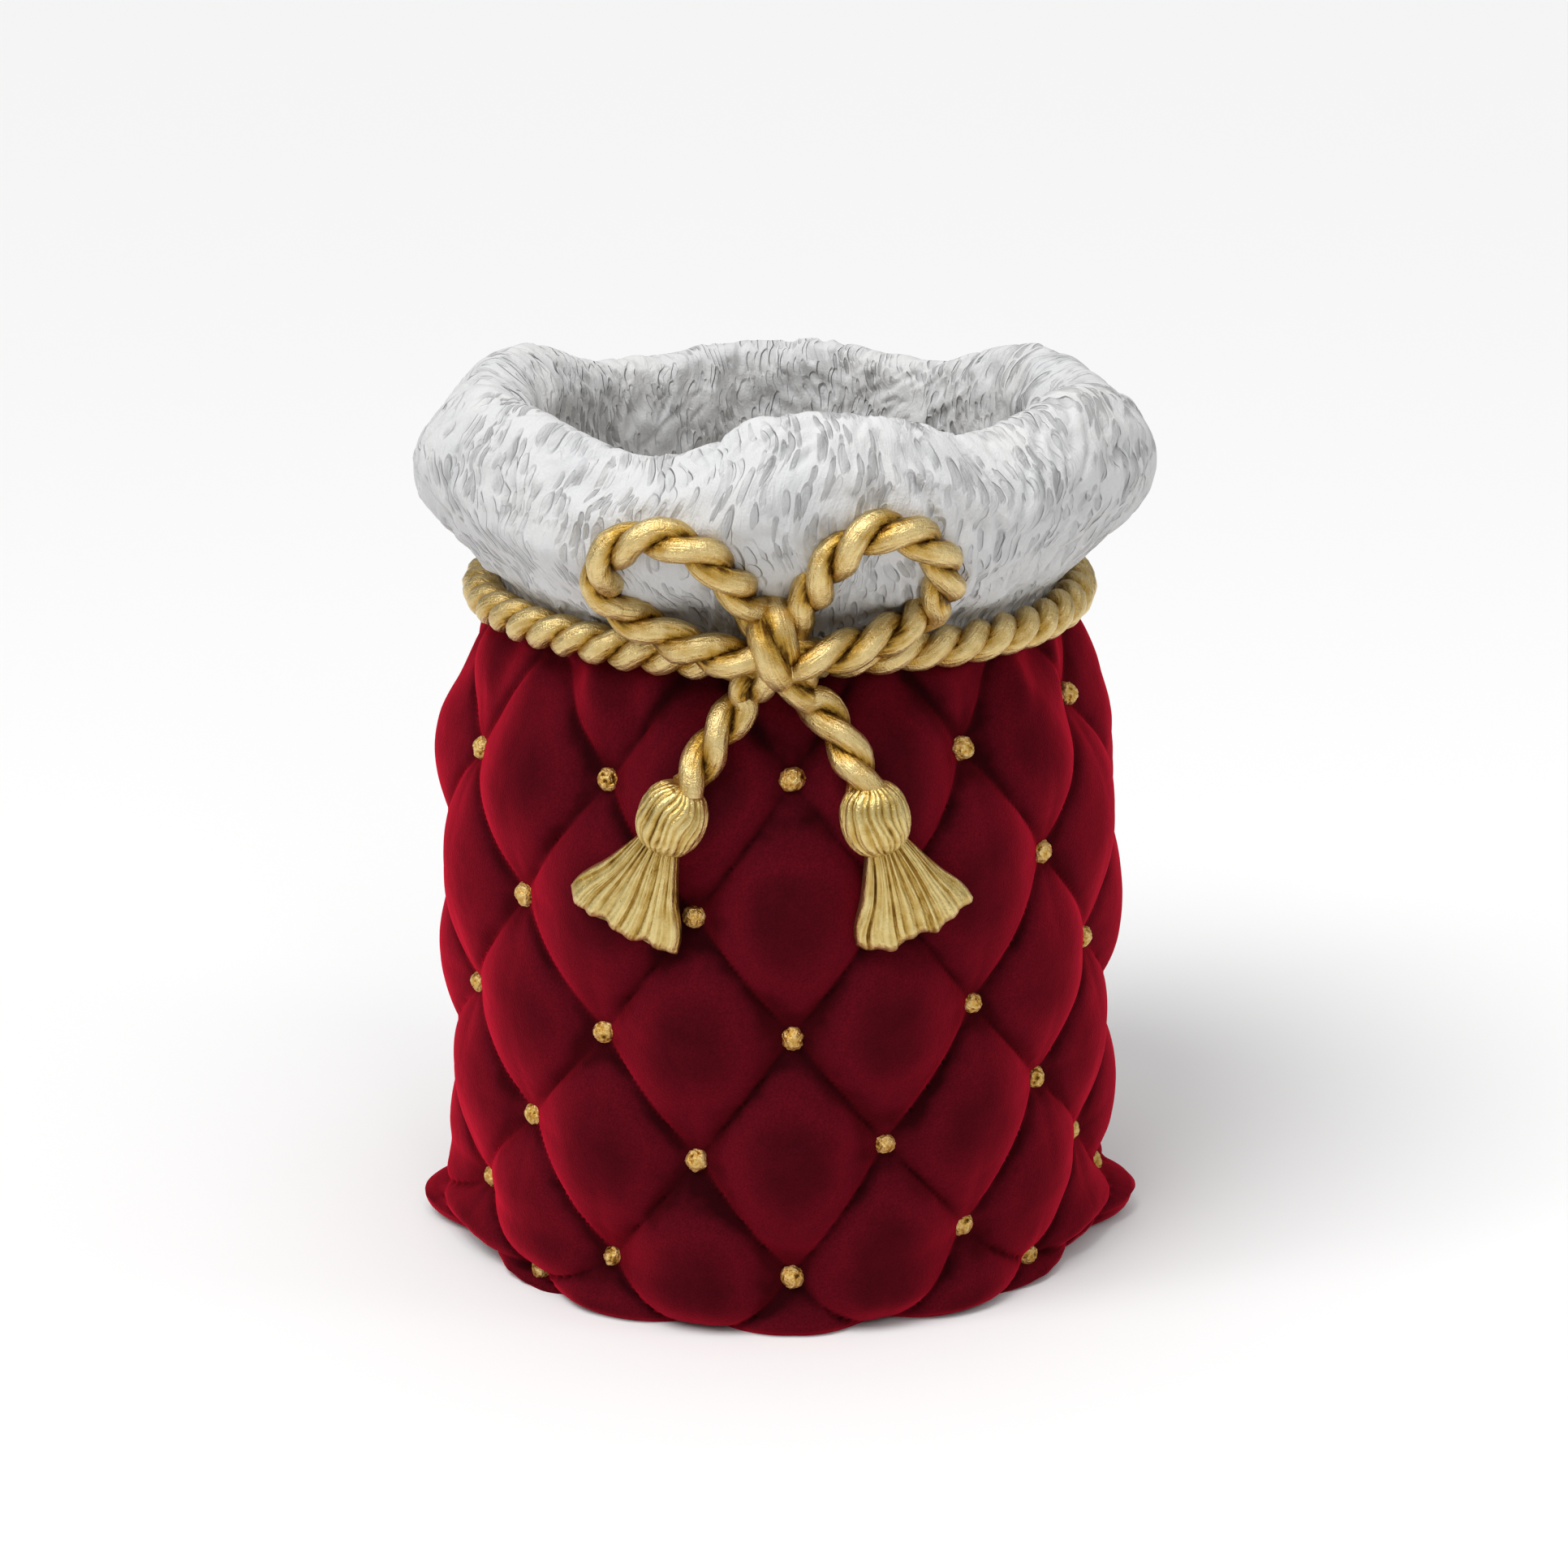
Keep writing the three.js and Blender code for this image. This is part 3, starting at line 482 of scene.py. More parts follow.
def quilting_tree():
    """Pulls a plain tube in along its seams, deepest at the studs, and leaves puffed pillows."""
    sizes = {"Stud Depth": STUD_DEPTH, "Seam Depth": SEAM_DEPTH, "Fullness": 0.52, "Variety": 0.16,
             "Pleat Depth": 1.3 * MM, "Pleats": 21.0, "Unevenness": 0.9 * MM}
    tree, given = new_tree("Quilting", sizes)
    one = node(tree, "GeometryNodeInputNamedAttribute", {"Name": "seam_one"}, data_type="FLOAT")
    two = node(tree, "GeometryNodeInputNamedAttribute", {"Name": "seam_two"}, data_type="FLOAT")
    puff = node(tree, "GeometryNodeInputNamedAttribute", {"Name": "puff"}, data_type="FLOAT")
    gather = node(tree, "GeometryNodeInputNamedAttribute", {"Name": "gather"}, data_type="FLOAT")
    # The pillows: highest in the middle of a diamond, low on its seams, lowest at its studs.
    across = []
    for passed in (one, two):
        angle = node(tree, "ShaderNodeMath", {0: passed, 1: math.pi}, operation="MULTIPLY")
        wave = node(tree, "ShaderNodeMath", {0: angle}, operation="SINE")
        across.append(node(tree, "ShaderNodeMath", {0: wave}, operation="ABSOLUTE"))
    both = node(tree, "ShaderNodeMath", {0: across[0], 1: across[1]}, operation="MULTIPLY")
    swell = node(tree, "ShaderNodeMath", {0: both, 1: given.outputs["Fullness"]}, operation="POWER")
    mid_seam = node(tree, "ShaderNodeMath", {0: across[0], 1: across[1]}, operation="MAXIMUM")
    pillow = []
    for passed in (one, two):
        pillow.append(node(tree, "ShaderNodeMath", {0: passed}, operation="FLOOR"))
    address = node(tree, "ShaderNodeCombineXYZ", {0: pillow[0], 1: pillow[1]})
    chance = node(tree, "ShaderNodeTexWhiteNoise", {"Vector": address}, noise_dimensions="3D")
    differs = node(tree, "ShaderNodeMath", {0: chance.outputs["Value"], 1: 0.5}, operation="SUBTRACT")
    fuller = node(tree, "ShaderNodeMath", {0: differs, 1: given.outputs["Variety"], 2: 1.0},
                  operation="MULTIPLY_ADD")
    full = node(tree, "ShaderNodeMath", {0: swell, 1: fuller}, operation="MULTIPLY")
    rise = node(tree, "ShaderNodeMath", {0: full, 1: given.outputs["Seam Depth"]}, operation="MULTIPLY")
    pinch = node(tree, "ShaderNodeMath", {0: given.outputs["Stud Depth"], 1: given.outputs["Seam Depth"]},
                 operation="SUBTRACT")
    eased = node(tree, "ShaderNodeMath", {0: mid_seam, 1: pinch}, operation="MULTIPLY")
    lifted = node(tree, "ShaderNodeMath", {0: rise, 1: eased}, operation="ADD")
    depth = node(tree, "ShaderNodeMath", {0: lifted, 1: given.outputs["Stud Depth"]}, operation="SUBTRACT")
    quilted = node(tree, "ShaderNodeMath", {0: depth, 1: puff}, operation="MULTIPLY")
    # The pleats under the cord, which drift a little as they run down and fade out.
    spot = node(tree, "GeometryNodeInputPosition")
    flat = node(tree, "ShaderNodeVectorMath", {0: spot, 1: (1, 1, 0)}, operation="MULTIPLY")
    out = node(tree, "ShaderNodeVectorMath", {0: flat}, operation="NORMALIZE")
    parts = node(tree, "ShaderNodeSeparateXYZ", {0: flat})
    turn = node(tree, "ShaderNodeMath", {0: parts.outputs[0], 1: parts.outputs[1]}, operation="ARCTAN2")
    wobble = node(tree, "ShaderNodeTexNoise", {"Vector": spot, "Scale": 1 / (30 * MM), "Detail": 1})
    shifted = node(tree, "ShaderNodeMath", {0: wobble, 1: 0.35, 2: turn}, operation="MULTIPLY_ADD")
    pleat_turn = node(tree, "ShaderNodeMath", {0: shifted, 1: given.outputs["Pleats"]},
                      operation="MULTIPLY")
    pleat_wave = node(tree, "ShaderNodeMath", {0: pleat_turn}, operation="SINE")
    pleat = node(tree, "ShaderNodeMath", {0: pleat_wave, 1: given.outputs["Pleat Depth"]},
                 operation="MULTIPLY")
    gathered = node(tree, "ShaderNodeMath", {0: pleat, 1: gather, 2: quilted}, operation="MULTIPLY_ADD")
    # The unevenness of the casting, and everything together as a move straight out.
    lumps = node(tree, "ShaderNodeTexNoise", {"Vector": spot, "Scale": 1 / (22 * MM), "Detail": 2})
    centred = node(tree, "ShaderNodeMath", {0: lumps, 1: 0.5}, operation="SUBTRACT")
    uneven = node(tree, "ShaderNodeMath", {0: centred, 1: given.outputs["Unevenness"]},
                  operation="MULTIPLY")
    moved = node(tree, "ShaderNodeMath", {0: uneven, 1: puff, 2: gathered}, operation="MULTIPLY_ADD")
    offset = node(tree, "ShaderNodeVectorMath", {0: out, "Scale": moved}, operation="SCALE")
    shaped = node(tree, "GeometryNodeSetPosition", {"Geometry": given, "Offset": offset})
    # The pillow value, 0 on a seam and 1 on a pillow top, by which the velvet paints shade into the seams
    # and on the tops and paints sheen on the flanks.
    shade_and_sheen_mask = node(tree, "ShaderNodeMapRange", {0: both, 1: 0.0, 2: 0.9})
    marked = node(tree, "GeometryNodeStoreNamedAttribute", {"Geometry": shaped, "Name": "pillow",
                  "Value": shade_and_sheen_mask}, data_type="FLOAT", domain="POINT")
    bare = node(tree, "GeometryNodeInputNamedAttribute", {"Name": "bare"}, data_type="FLOAT")
    chosen = node(tree, "FunctionNodeCompare", {0: bare, 1: 0.6}, data_type="FLOAT",
                  operation="GREATER_THAN")
    close_tree(tree, marked, VELVET, chosen, BARE_RESIN)
    return tree


def quilted_body():
    """The hollow body: underside, outer skin and cavity in one closed skin, quilted outside,
    with shallow pleats where the cord gathers its neck."""
    columns = np.linspace(-180, 180, BODY_COLUMNS, endpoint=False)
    top = CORD_HEIGHT - CLEARANCE / 2
    heights = top * np.linspace(0, 1, BODY_RINGS) ** 1.05
    angle, height = np.meshgrid(columns, heights)
    outer = around(angle, body_radius(angle, height), height)
    cavity = [(MOUTH_RADIUS, top), (MOUTH_RADIUS, TOP_ROW_HEIGHT),
              (CAVITY_RADIUS, TOP_ROW_HEIGHT - ROW_DROP),
              (CAVITY_RADIUS, FLOOR_THICKNESS + CAVITY_CORNER),
              (CAVITY_RADIUS - CAVITY_CORNER, FLOOR_THICKNESS)]
    inner = np.stack([around(columns, radius, level) for radius, level in cavity])
    underside = around(columns, 0.97 * body_radius(columns, 0 * columns), 0)[None]
    body = shell("quilted_body", np.concatenate([underside, outer, inner]))
    one, two = seams(angle, height)
    neck = CORD_HEIGHT - CORD_RADIUS
    puff = 1 - 0.35 * smooth_step(height, neck - 26 * MM, neck - 4 * MM)
    puff *= 1 - smooth_step(height, neck - 3 * MM, neck + 1 * MM)
    gather = smooth_step(height, neck - 22 * MM, neck - 3 * MM)
    gather *= 1 - smooth_step(height, neck - 2 * MM, neck + 1 * MM)
    for name, values in {"seam_one": one, "seam_two": two, "puff": puff, "gather": gather}.items():
        point_values(body, name, np.concatenate([values[0], values.ravel()]))
    bare = np.concatenate([np.ones(BODY_COLUMNS), np.zeros(outer.size // 3)])
    point_values(body, "bare", bare, fill=1.0)
    body = grown(body, quilting_tree())
    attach(body, "root")
    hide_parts("sack_body")
    return body


# ---------------------------------------------------------------- the collar

# Angle of the rim's lobes and dips, and their height in millimetres against its mean height.
RIM_LOBES = [
    (-152, -12), (-120, -3), (-90, -9), (-60, 0.5), (-25, -7.6), (3, 5.6), (12, 5.8),
    (35, -3.0), (60, 2.7), (92, -7), (125, -3.3), (151, -12), (175, -7.9),
]
RIM_RISE = 56.5 * MM
LOBE_FLARE = 0.4  # how far a lobe leans out for each millimetre that it rises
LEFT_SLIMMER = 3 * MM
SIDE_ROLL = 9 * MM  # how far the rolled rim folds inwards at the two sides
# Section of the collar as (height above the cord, radius) in millimetres, round from the neck,
# out and over the rolled rim, and down inside.
COLLAR_SECTION = [
    (0.15, 71.5), (3.5, 72.2), (7, 74.5), (11, 79), (17, 85), (24, 90.5), (31, 94.5), (38, 96.3),
    (44, 95.6), (50, 92.3), (54.5, 88), (56.5, 83.5), (55, 79.3), (50, 77), (42, 76), (32, 75.6),
    (20, 74.6), (9, 71), (0.15, 67),
]
COLLAR_COLUMNS = 640
COLLAR_RINGS = 150
COLLAR_MEAN_RADIUS = 88 * MM
GOUGES = 3000
GOUGE_LENGTH = (6, 14)  # shortest and longest, in millimetres; so are the next two
GOUGE_WIDTH = (1.6, 3.6)
GOUGE_DEPTH = (0.4, 1.5)
DEEP_GOUGE = 1.6 * MM  # the depth at which a gouge gets all of its painted shade


def lobe_rise(angle):
    """How far the rim stands above its mean height."""
    stations = [(place + turn, rise * MM) for turn in (-360, 0, 360) for place, rise in RIM_LOBES]
    return smooth_through(stations, angle)


def collar_place(angle, radius, above):
    """Lifts and leans a point of the section with the rim's lobes."""
    share = above / RIM_RISE
    rise = lobe_rise(angle)
    slimmer = LEFT_SLIMMER * share * np.maximum(0, -np.sin(np.radians(angle)))
    return radius + LOBE_FLARE * share * share * rise - slimmer, CORD_HEIGHT + above + rise * share


def section_points(count):
    """The collar's section as evenly spaced (height, radius) points on a smooth curve."""
    corners = np.array(COLLAR_SECTION) * MM
    steps = np.linalg.norm(np.diff(corners, axis=0), axis=1)
    walked = np.concatenate([[0], np.cumsum(steps)])
    at = np.linspace(0, walked[-1], count)
    height = smooth_through(list(zip(walked, corners[:, 0])), at)
    radius = smooth_through(list(zip(walked, corners[:, 1])), at)
    return height, radius, walked[-1]


def gouges(shape, cell, count, seed):
    """The carver's cuts: teardrop gouges, steep at the head and along one side, fading out at
    the tail. Returns their depth on a grid; cell is the grid's spacing round and along."""
    random = np.random.default_rng(seed)
    depth = np.zeros(shape)
    flow = soft_noise(shape, (14, 5), seed + 1)
    calm = smooth_step(soft_noise(shape, (9, 4), seed + 2), -0.75, 0.25)
    for _ in range(count):
        middle_column = random.integers(shape[0])
        middle_row = random.integers(2, shape[1] - 2)
        length = random.uniform(*GOUGE_LENGTH) * MM
        width = random.uniform(*GOUGE_WIDTH) * MM
        deep = random.uniform(*GOUGE_DEPTH) * MM * (0.25 + 0.75 * calm[middle_column, middle_row])
        lean = 0.95 * flow[middle_column, middle_row] + random.normal(0, 0.22)
        curl = random.normal(0, 0.10) / MM
        reach = [int(length / c) + 2 for c in cell]
        columns = np.arange(middle_column - reach[0], middle_column + reach[0] + 1)
        rows = np.arange(max(0, middle_row - reach[1]), min(shape[1], middle_row + reach[1] + 1))
        x = ((columns - middle_column) * cell[0])[:, None]
        y = ((rows - middle_row) * cell[1])[None, :]
        along = y * math.cos(lean) + x * math.sin(lean)
        aside = x * math.cos(lean) - y * math.sin(lean) + curl * along ** 2 * 0.3
        share = along / length + 0.5
        inside = (share > 0) & (share < 1)
        share = np.clip(share, 0, 1)
        half = width * np.sqrt(share) * (1 - share) ** 0.55 * 1.25 + 1e-6
        side = np.clip(aside / half, -1, 1)
        section = (1 - side * side) * (1 + 0.55 * side)
        ends = (0.35 + 0.65 * share ** 0.5) * (1 - share ** 6)
        cut = np.where(inside, section * ends, 0)
        patch = np.ix_(columns % shape[0], rows)
        depth[patch] = np.maximum(depth[patch], deep * cut) + 0.25 * np.minimum(depth[patch], deep * cut)
    return depth


def comb_map(collar, cell):
    """Maps the collar by the distance round it and along its section, in metres, so that the
    knife cuts follow the carving. The map stays whole on the faces that close the rings."""
    comb = collar.data.uv_layers.new(name="comb")
    corner = np.zeros(len(collar.data.loops), np.int64)
    collar.data.loops.foreach_get("vertex_index", corner)
    ring, column = corner // COLLAR_COLUMNS, corner % COLLAR_COLUMNS
    first = corner[np.arange(len(corner)) // 4 * 4]
    column = np.where(column < first % COLLAR_COLUMNS, column + COLLAR_COLUMNS, column)
    ring = np.where(ring < first // COLLAR_COLUMNS, ring + COLLAR_RINGS, ring)
    places = np.stack([column * cell[0], ring * cell[1]], axis=1).astype(np.float32)
    comb.data.foreach_set("uv", places.ravel())


def fur_collar():
    """The carved collar: the section swept round with the rim's lobes, then cut with gouges."""
    angle = np.linspace(-180, 180, COLLAR_COLUMNS, endpoint=False)
    above, radius, length = section_points(COLLAR_RINGS)
    columns, rows = np.meshgrid(angle, np.arange(COLLAR_RINGS))
    heights = above[rows]
    r, z = collar_place(columns, radius[rows], heights)
    share = heights / RIM_RISE
    walked = rows / (COLLAR_RINGS - 1)
    folded = smooth_step(walked, 0.5, 0.68) * (1 - smooth_step(walked, 0.72, 0.97))
    r = r - SIDE_ROLL * folded * np.sin(np.radians(columns)) ** 2
    rings = around(columns, r, z)
    cell = (2 * math.pi * COLLAR_MEAN_RADIUS / COLLAR_COLUMNS, length / (COLLAR_RINGS - 1))
    shape = (COLLAR_COLUMNS, COLLAR_RINGS)
    cuts = gouges(shape, cell, GOUGES, 11)
    swell = 1.5 * MM * soft_noise(shape, (26, 9), 5) + 0.8 * MM * soft_noise(shape, (70, 22), 6)
    keep = np.clip(share.T / 0.12, 0, 1)
    relief = (swell - cuts) * keep
    across = np.roll(rings, -1, axis=1) - np.roll(rings, 1, axis=1)
    up = np.gradient(rings, axis=0)
    normal = np.cross(across, up)
    normal /= np.linalg.norm(normal, axis=2, keepdims=True)
    rings = rings + normal * relief.T[:, :, None]
    collar = shell("fur_collar_carved", rings, closed_section=True)
    # The gouges' depth, for the painted shade in them; it is weaker inside the collar.
    outside = 1 - 0.7 * smooth_step(walked, 0.5, 0.6)
    point_values(collar, "recess_shade", np.clip(cuts.T / DEEP_GOUGE, 0, 1) * outside)
    comb_map(collar, cell)
    collar.data.materials.append(RESIN)
    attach(collar, "root")
    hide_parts("fur_collar")
    return collar


# ---------------------------------------------------------------- the cord and the bow

BOW_CORD_RADIUS = 4.8 * MM
NECK_CORD_PITCH = 18.5 * MM
BOW_CORD_PITCH = 24 * MM
# Within this many degrees of the front the cord is tucked in towards the sack, under the knot.
TUCK_ANGLE = 3.0
TUCK = 3 * MM
# How far inside the solid knot's front and ends the middle of the wrap runs, and the angle in
# radians at which its strands start.
KNOT_FRONT_IN = 1.9 * MM
KNOT_ENDS_IN = 4.6 * MM
KNOT_START = 2.65
# Share of the wrap's half height and millimetres out from its front, from the bottom up.
KNOT_PATH = [
    (-0.9, -12), (-1.05, -6), (-0.8, -1.6), (-0.3, 0.3), (0.3, 0.3), (0.8, -1.4), (1.05, -6),
    (0.9, -12),
]
# The routes of the bow's cord, as angle round the sack and millimetres above the neck cord.
LEFT_LOOP = [
    (-0.6, 6.5), (-4.4, 14.2), (-7.3, 23.4), (-11.3, 30.8), (-17.2, 33.8), (-22.7, 30.6),
    (-26.4, 22.8), (-26.6, 14.2), (-21.8, 8.0), (-14.0, 4.8), (-5.2, 2.4), (-0.5, 1.5),
]
RIGHT_LOOP = [
    (-0.2, 6.5), (3.6, 14.4), (6.0, 23.2), (9.8, 32.6), (14.5, 36.2), (19.0, 33.8),
    (23.4, 27.2), (25.7, 19.2), (25.0, 11.2), (17.2, 6.8), (4.4, 2.8), (-0.5, 1.8),
]
LEFT_TAIL = [
    (-1.2, 0.5), (-4.4, -4.6), (-5.6, -8.5), (-7.7, -12.6), (-10.7, -18.4), (-13.6, -27.2),
    (-14.6, -30.0),
]
RIGHT_TAIL = [
    (0.4, 0.5), (3.4, -4.6), (4.9, -8.5), (8.2, -13.2), (11.4, -21.6), (13.2, -28.4),
    (13.6, -31.0),
]


def twisted_cord_tree():
    """Two fat strands laid round each other along a curve, and how high each point stands
    above the crease between them."""
    sizes = {"Strand Radius": 3.0 * MM, "Twist Radius": 2.4 * MM, "Pitch": 20 * MM,
             "Step": 0.9 * MM, "Unevenness": 1.1 * MM, "Start": 0.0}
    tree, given = new_tree("Twisted cord", sizes)
    route = node(tree, "GeometryNodeResampleCurve", {"Curve": given.outputs["Geometry"],
                 "Length": given.outputs["Step"]}, mode="LENGTH")
    spot = node(tree, "GeometryNodeInputPosition")
    axis = node(tree, "GeometryNodeStoreNamedAttribute", {"Geometry": route, "Name": "axis",
                "Value": spot}, data_type="FLOAT_VECTOR", domain="POINT")
    walked = node(tree, "GeometryNodeSplineParameter").outputs["Length"]
    turns = node(tree, "ShaderNodeMath", {0: walked, 1: given.outputs["Pitch"]}, operation="DIVIDE")
    twist = node(tree, "ShaderNodeMath", {0: turns, 1: -2 * math.pi}, operation="MULTIPLY")
    ahead = node(tree, "GeometryNodeInputTangent")
    side = node(tree, "GeometryNodeInputNormal")
    other_side = node(tree, "ShaderNodeVectorMath", {0: ahead, 1: side}, operation="CROSS_PRODUCT")
    strands = node(tree, "GeometryNodeJoinGeometry")
    for strand in range(2):
        begin = node(tree, "ShaderNodeMath", {0: given.outputs["Start"], 1: strand * math.pi},
                     operation="ADD")
        phase = node(tree, "ShaderNodeMath", {0: twist, 1: begin}, operation="ADD")
        cosine = node(tree, "ShaderNodeMath", {0: phase}, operation="COSINE")
        sine = node(tree, "ShaderNodeMath", {0: phase}, operation="SINE")
        along_side = node(tree, "ShaderNodeVectorMath", {0: side, "Scale": cosine}, operation="SCALE")
        along_other = node(tree, "ShaderNodeVectorMath", {0: other_side, "Scale": sine},
                           operation="SCALE")
        way = node(tree, "ShaderNodeVectorMath", {0: along_side, 1: along_other}, operation="ADD")
        offset = node(tree, "ShaderNodeVectorMath", {0: way, "Scale": given.outputs["Twist Radius"]},
                      operation="SCALE")
        laid = node(tree, "GeometryNodeSetPosition", {"Geometry": axis, "Offset": offset})
        tree.links.new(laid.outputs[0], strands.inputs[0])
    measured = node(tree, "GeometryNodeStoreNamedAttribute", {"Geometry": strands, "Name": "walked",
                    "Value": walked}, data_type="FLOAT", domain="POINT")
    circle = node(tree, "GeometryNodeCurvePrimitiveCircle", {"Resolution": 14,
                  "Radius": given.outputs["Strand Radius"]}, mode="RADIUS")
    section = node(tree, "GeometryNodeStoreNamedAttribute", {"Geometry": circle, "Name": "section",
                   "Value": spot}, data_type="FLOAT_VECTOR", domain="POINT")
    solid = node(tree, "GeometryNodeCurveToMesh", {"Curve": measured, "Profile Curve": section,
                 "Fill Caps": True})
    lumps = node(tree, "ShaderNodeTexNoise", {"Vector": spot, "Scale": 1 / (6 * MM), "Detail": 3})
    centred = node(tree, "ShaderNodeMath", {0: lumps, 1: 0.5}, operation="SUBTRACT")
    uneven = node(tree, "ShaderNodeMath", {0: centred, 1: given.outputs["Unevenness"]},
                  operation="MULTIPLY")
    skin = node(tree, "GeometryNodeInputNormal")
    bump = node(tree, "ShaderNodeVectorMath", {0: skin, "Scale": uneven}, operation="SCALE")
    modelled = node(tree, "GeometryNodeSetPosition", {"Geometry": solid, "Offset": bump})
    centre = node(tree, "GeometryNodeInputNamedAttribute", {"Name": "axis"}, data_type="FLOAT_VECTOR")
    stands_out = node(tree, "ShaderNodeVectorMath", {0: spot, 1: centre}, operation="DISTANCE")
    outside = node(tree, "ShaderNodeMath", {0: given.outputs["Strand Radius"],
                   1: given.outputs["Twist Radius"]}, operation="ADD")
    inside = node(tree, "ShaderNodeMath", {0: outside, 1: 0.6}, operation="MULTIPLY")
    # 0 in the crease between the strands, where the gold paint puts its painted shade, and 1 on the
    # outside, where it puts its painted highlight.
    crown = node(tree, "ShaderNodeMapRange", {0: stands_out.outputs["Value"], 1: inside, 2: outside})
    marked = node(tree, "GeometryNodeStoreNamedAttribute", {"Geometry": modelled, "Name": "crown",
                  "Value": crown.outputs[0]}, data_type="FLOAT", domain="POINT")
    on_section = node(tree, "GeometryNodeInputNamedAttribute", {"Name": "section"},
                      data_type="FLOAT_VECTOR")
    on_length = node(tree, "GeometryNodeInputNamedAttribute", {"Name": "walked"}, data_type="FLOAT")
    lengthwise = node(tree, "ShaderNodeCombineXYZ", {2: on_length})
    place = node(tree, "ShaderNodeVectorMath", {0: on_section, 1: lengthwise}, operation="ADD")
    laid_out = node(tree, "GeometryNodeStoreNamedAttribute", {"Geometry": marked, "Name": "straight",
                    "Value": place}, data_type="FLOAT_VECTOR", domain="POINT")
    smooth = node(tree, "GeometryNodeSetShadeSmooth", {"Geometry": laid_out})
    close_tree(tree, smooth, CORD_GOLD)
    return tree


def collar_radius(angle, height):
    """Distance from the axis to the outside of the collar before it is carved."""
    rise = lobe_rise(angle)
    above = (height - CORD_HEIGHT) * RIM_RISE / (RIM_RISE + rise)
    outside = [(z * MM, r * MM) for z, r in COLLAR_SECTION[:8]]
    share = above / RIM_RISE
    return smooth_through(outside, above) + LOBE_FLARE * share * share * rise


def lying_radius(angle, height):
    """Where the bow's cord lies: on the collar, on the body or over the neck cord."""
    skin = np.where(height > CORD_HEIGHT, collar_radius(angle, height), body_radius(angle, height))
    touching = CORD_RADIUS + BOW_CORD_RADIUS
    over = CORD_RING_RADIUS + np.sqrt(np.maximum(0, touching ** 2 - (height - CORD_HEIGHT) ** 2))
    tucked = TUCK * np.maximum(0, 1 - np.abs(angle) / TUCK_ANGLE)
    return np.maximum(skin + 0.6 * BOW_CORD_RADIUS, over) - tucked


def tail_radius(angle, height):
    """Where a tail lies: partly sunk in the body, or over the neck cord."""
    touching = CORD_RADIUS + 0.6 * BOW_CORD_RADIUS
    over = CORD_RING_RADIUS + np.sqrt(np.maximum(0, touching ** 2 - (height - CORD_HEIGHT) ** 2))
    return np.maximum(body_radius(angle, height) + 0.5 * BOW_CORD_RADIUS, over)


def route(name, points, cyclic=False):
    """A smooth curve through the points, for a geometry tree to follow."""
    curve = bpy.data.curves.new(name, "CURVE")
    curve.dimensions = "3D"
    curve.twist_mode = "MINIMUM"
    curve.resolution_u = 24
    spline = curve.splines.new("NURBS" if cyclic else "BEZIER")
    if cyclic:
        spline.points.add(len(points) - 1)
        for control, place in zip(spline.points, points):
            control.co = (*place, 1)
        spline.use_cyclic_u = True
        spline.order_u = 4
    else:
        spline.bezier_points.add(len(points) - 1)
        for control, place in zip(spline.bezier_points, points):
            control.co = place
            control.handle_left_type = "AUTO"
            control.handle_right_type = "AUTO"
    return placed(name, curve)


def cord_piece(name, points, tree, replaced, cyclic=False, **sizes):
    """One length of gold cord, laid through the points by the cord's tree."""
    cord = grown(route(name, points, cyclic), tree, **sizes)
    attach(cord, "root")
    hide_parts(replaced)
    return cord


def neck_cord(tree):
    """The ring of cord round the neck, with a whole number of twists so that its ends meet."""
    angles = np.arange(0, 360, 7.5)
    ripple = 0.35 * MM * np.sin(np.radians(5 * angles))
    points = around(angles, CORD_RING_RADIUS + 0 * angles, CORD_HEIGHT + ripple)
    length = 2 * math.pi * CORD_RING_RADIUS
    pitch = length / round(length / NECK_CORD_PITCH)
    return cord_piece("neck_cord_twisted", points, tree, "neck_cord", cyclic=True, pitch=pitch,
                      strand_radius=0.62 * CORD_RADIUS, twist_radius=0.4 * CORD_RADIUS)


def bow_piece(name, stations, lie, tree, replaced):
    """A loop or a tail; lie gives its distance from the axis at each angle and height."""
    angle, above = np.array(stations).T
    height = CORD_HEIGHT + above * MM
    points = around(angle, lie(angle, height), height)
    return cord_piece(name, points, tree, replaced, strand_radius=0.67 * BOW_CORD_RADIUS,
                      twist_radius=0.44 * BOW_CORD_RADIUS, pitch=BOW_CORD_PITCH)


def knot_wrap(tree):
    """The wrap over the middle of the bow: two fat strands side by side, bent over the crossing
    from top to bottom and leaning slightly, with a slanting crease between them."""
    low, high = (Vector(corner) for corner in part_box("bow_knot"))
    centre = (low + high) / 2
    angle = math.degrees(math.atan2(centre.x, -centre.y))
    front = -low.y - KNOT_FRONT_IN
    half = (high.z - low.z) / 2 - KNOT_ENDS_IN
    points = [around(angle - share, front + out * MM, centre.z + share * half)
              for share, out in KNOT_PATH]
    return cord_piece("bow_knot_wrap", points, tree, "bow_knot", strand_radius=4.0 * MM,
                      twist_radius=2.0 * MM, pitch=50 * MM, unevenness=1.4 * MM, start=KNOT_START)


# ---------------------------------------------------------------- the tassels

HEAD_RADIUS = 8.7 * MM
HEAD_HALF_LENGTH = 9.2 * MM
HEAD_FLATNESS = 0.86  # its thickness out of the sack, as a share of its width
HEAD_THREADS = 27
SKIRT_START = 6.2 * MM  # below the middle of the head
SKIRT_LENGTH = 26.5 * MM
SKIRT_WIDTH = 31 * MM
SKIRT_TIED_HALF = 4.9 * MM  # half its width where it leaves the head
SKIRT_THICKNESS = 3.6 * MM
SKIRT_THREADS = 9
SKIRT_FINE_THREADS = 21
# Share of the flare at each share of the way down.
SKIRT_FLARE = [(0, 0), (0.15, 0.14), (0.5, 0.5), (0.85, 0.93), (1, 1)]
# Angle round the sack of each tassel's head, and its distance below the neck cord.
LEFT_TASSEL = (-16.7, 37 * MM)
RIGHT_TASSEL = (14.8, 36.8 * MM)

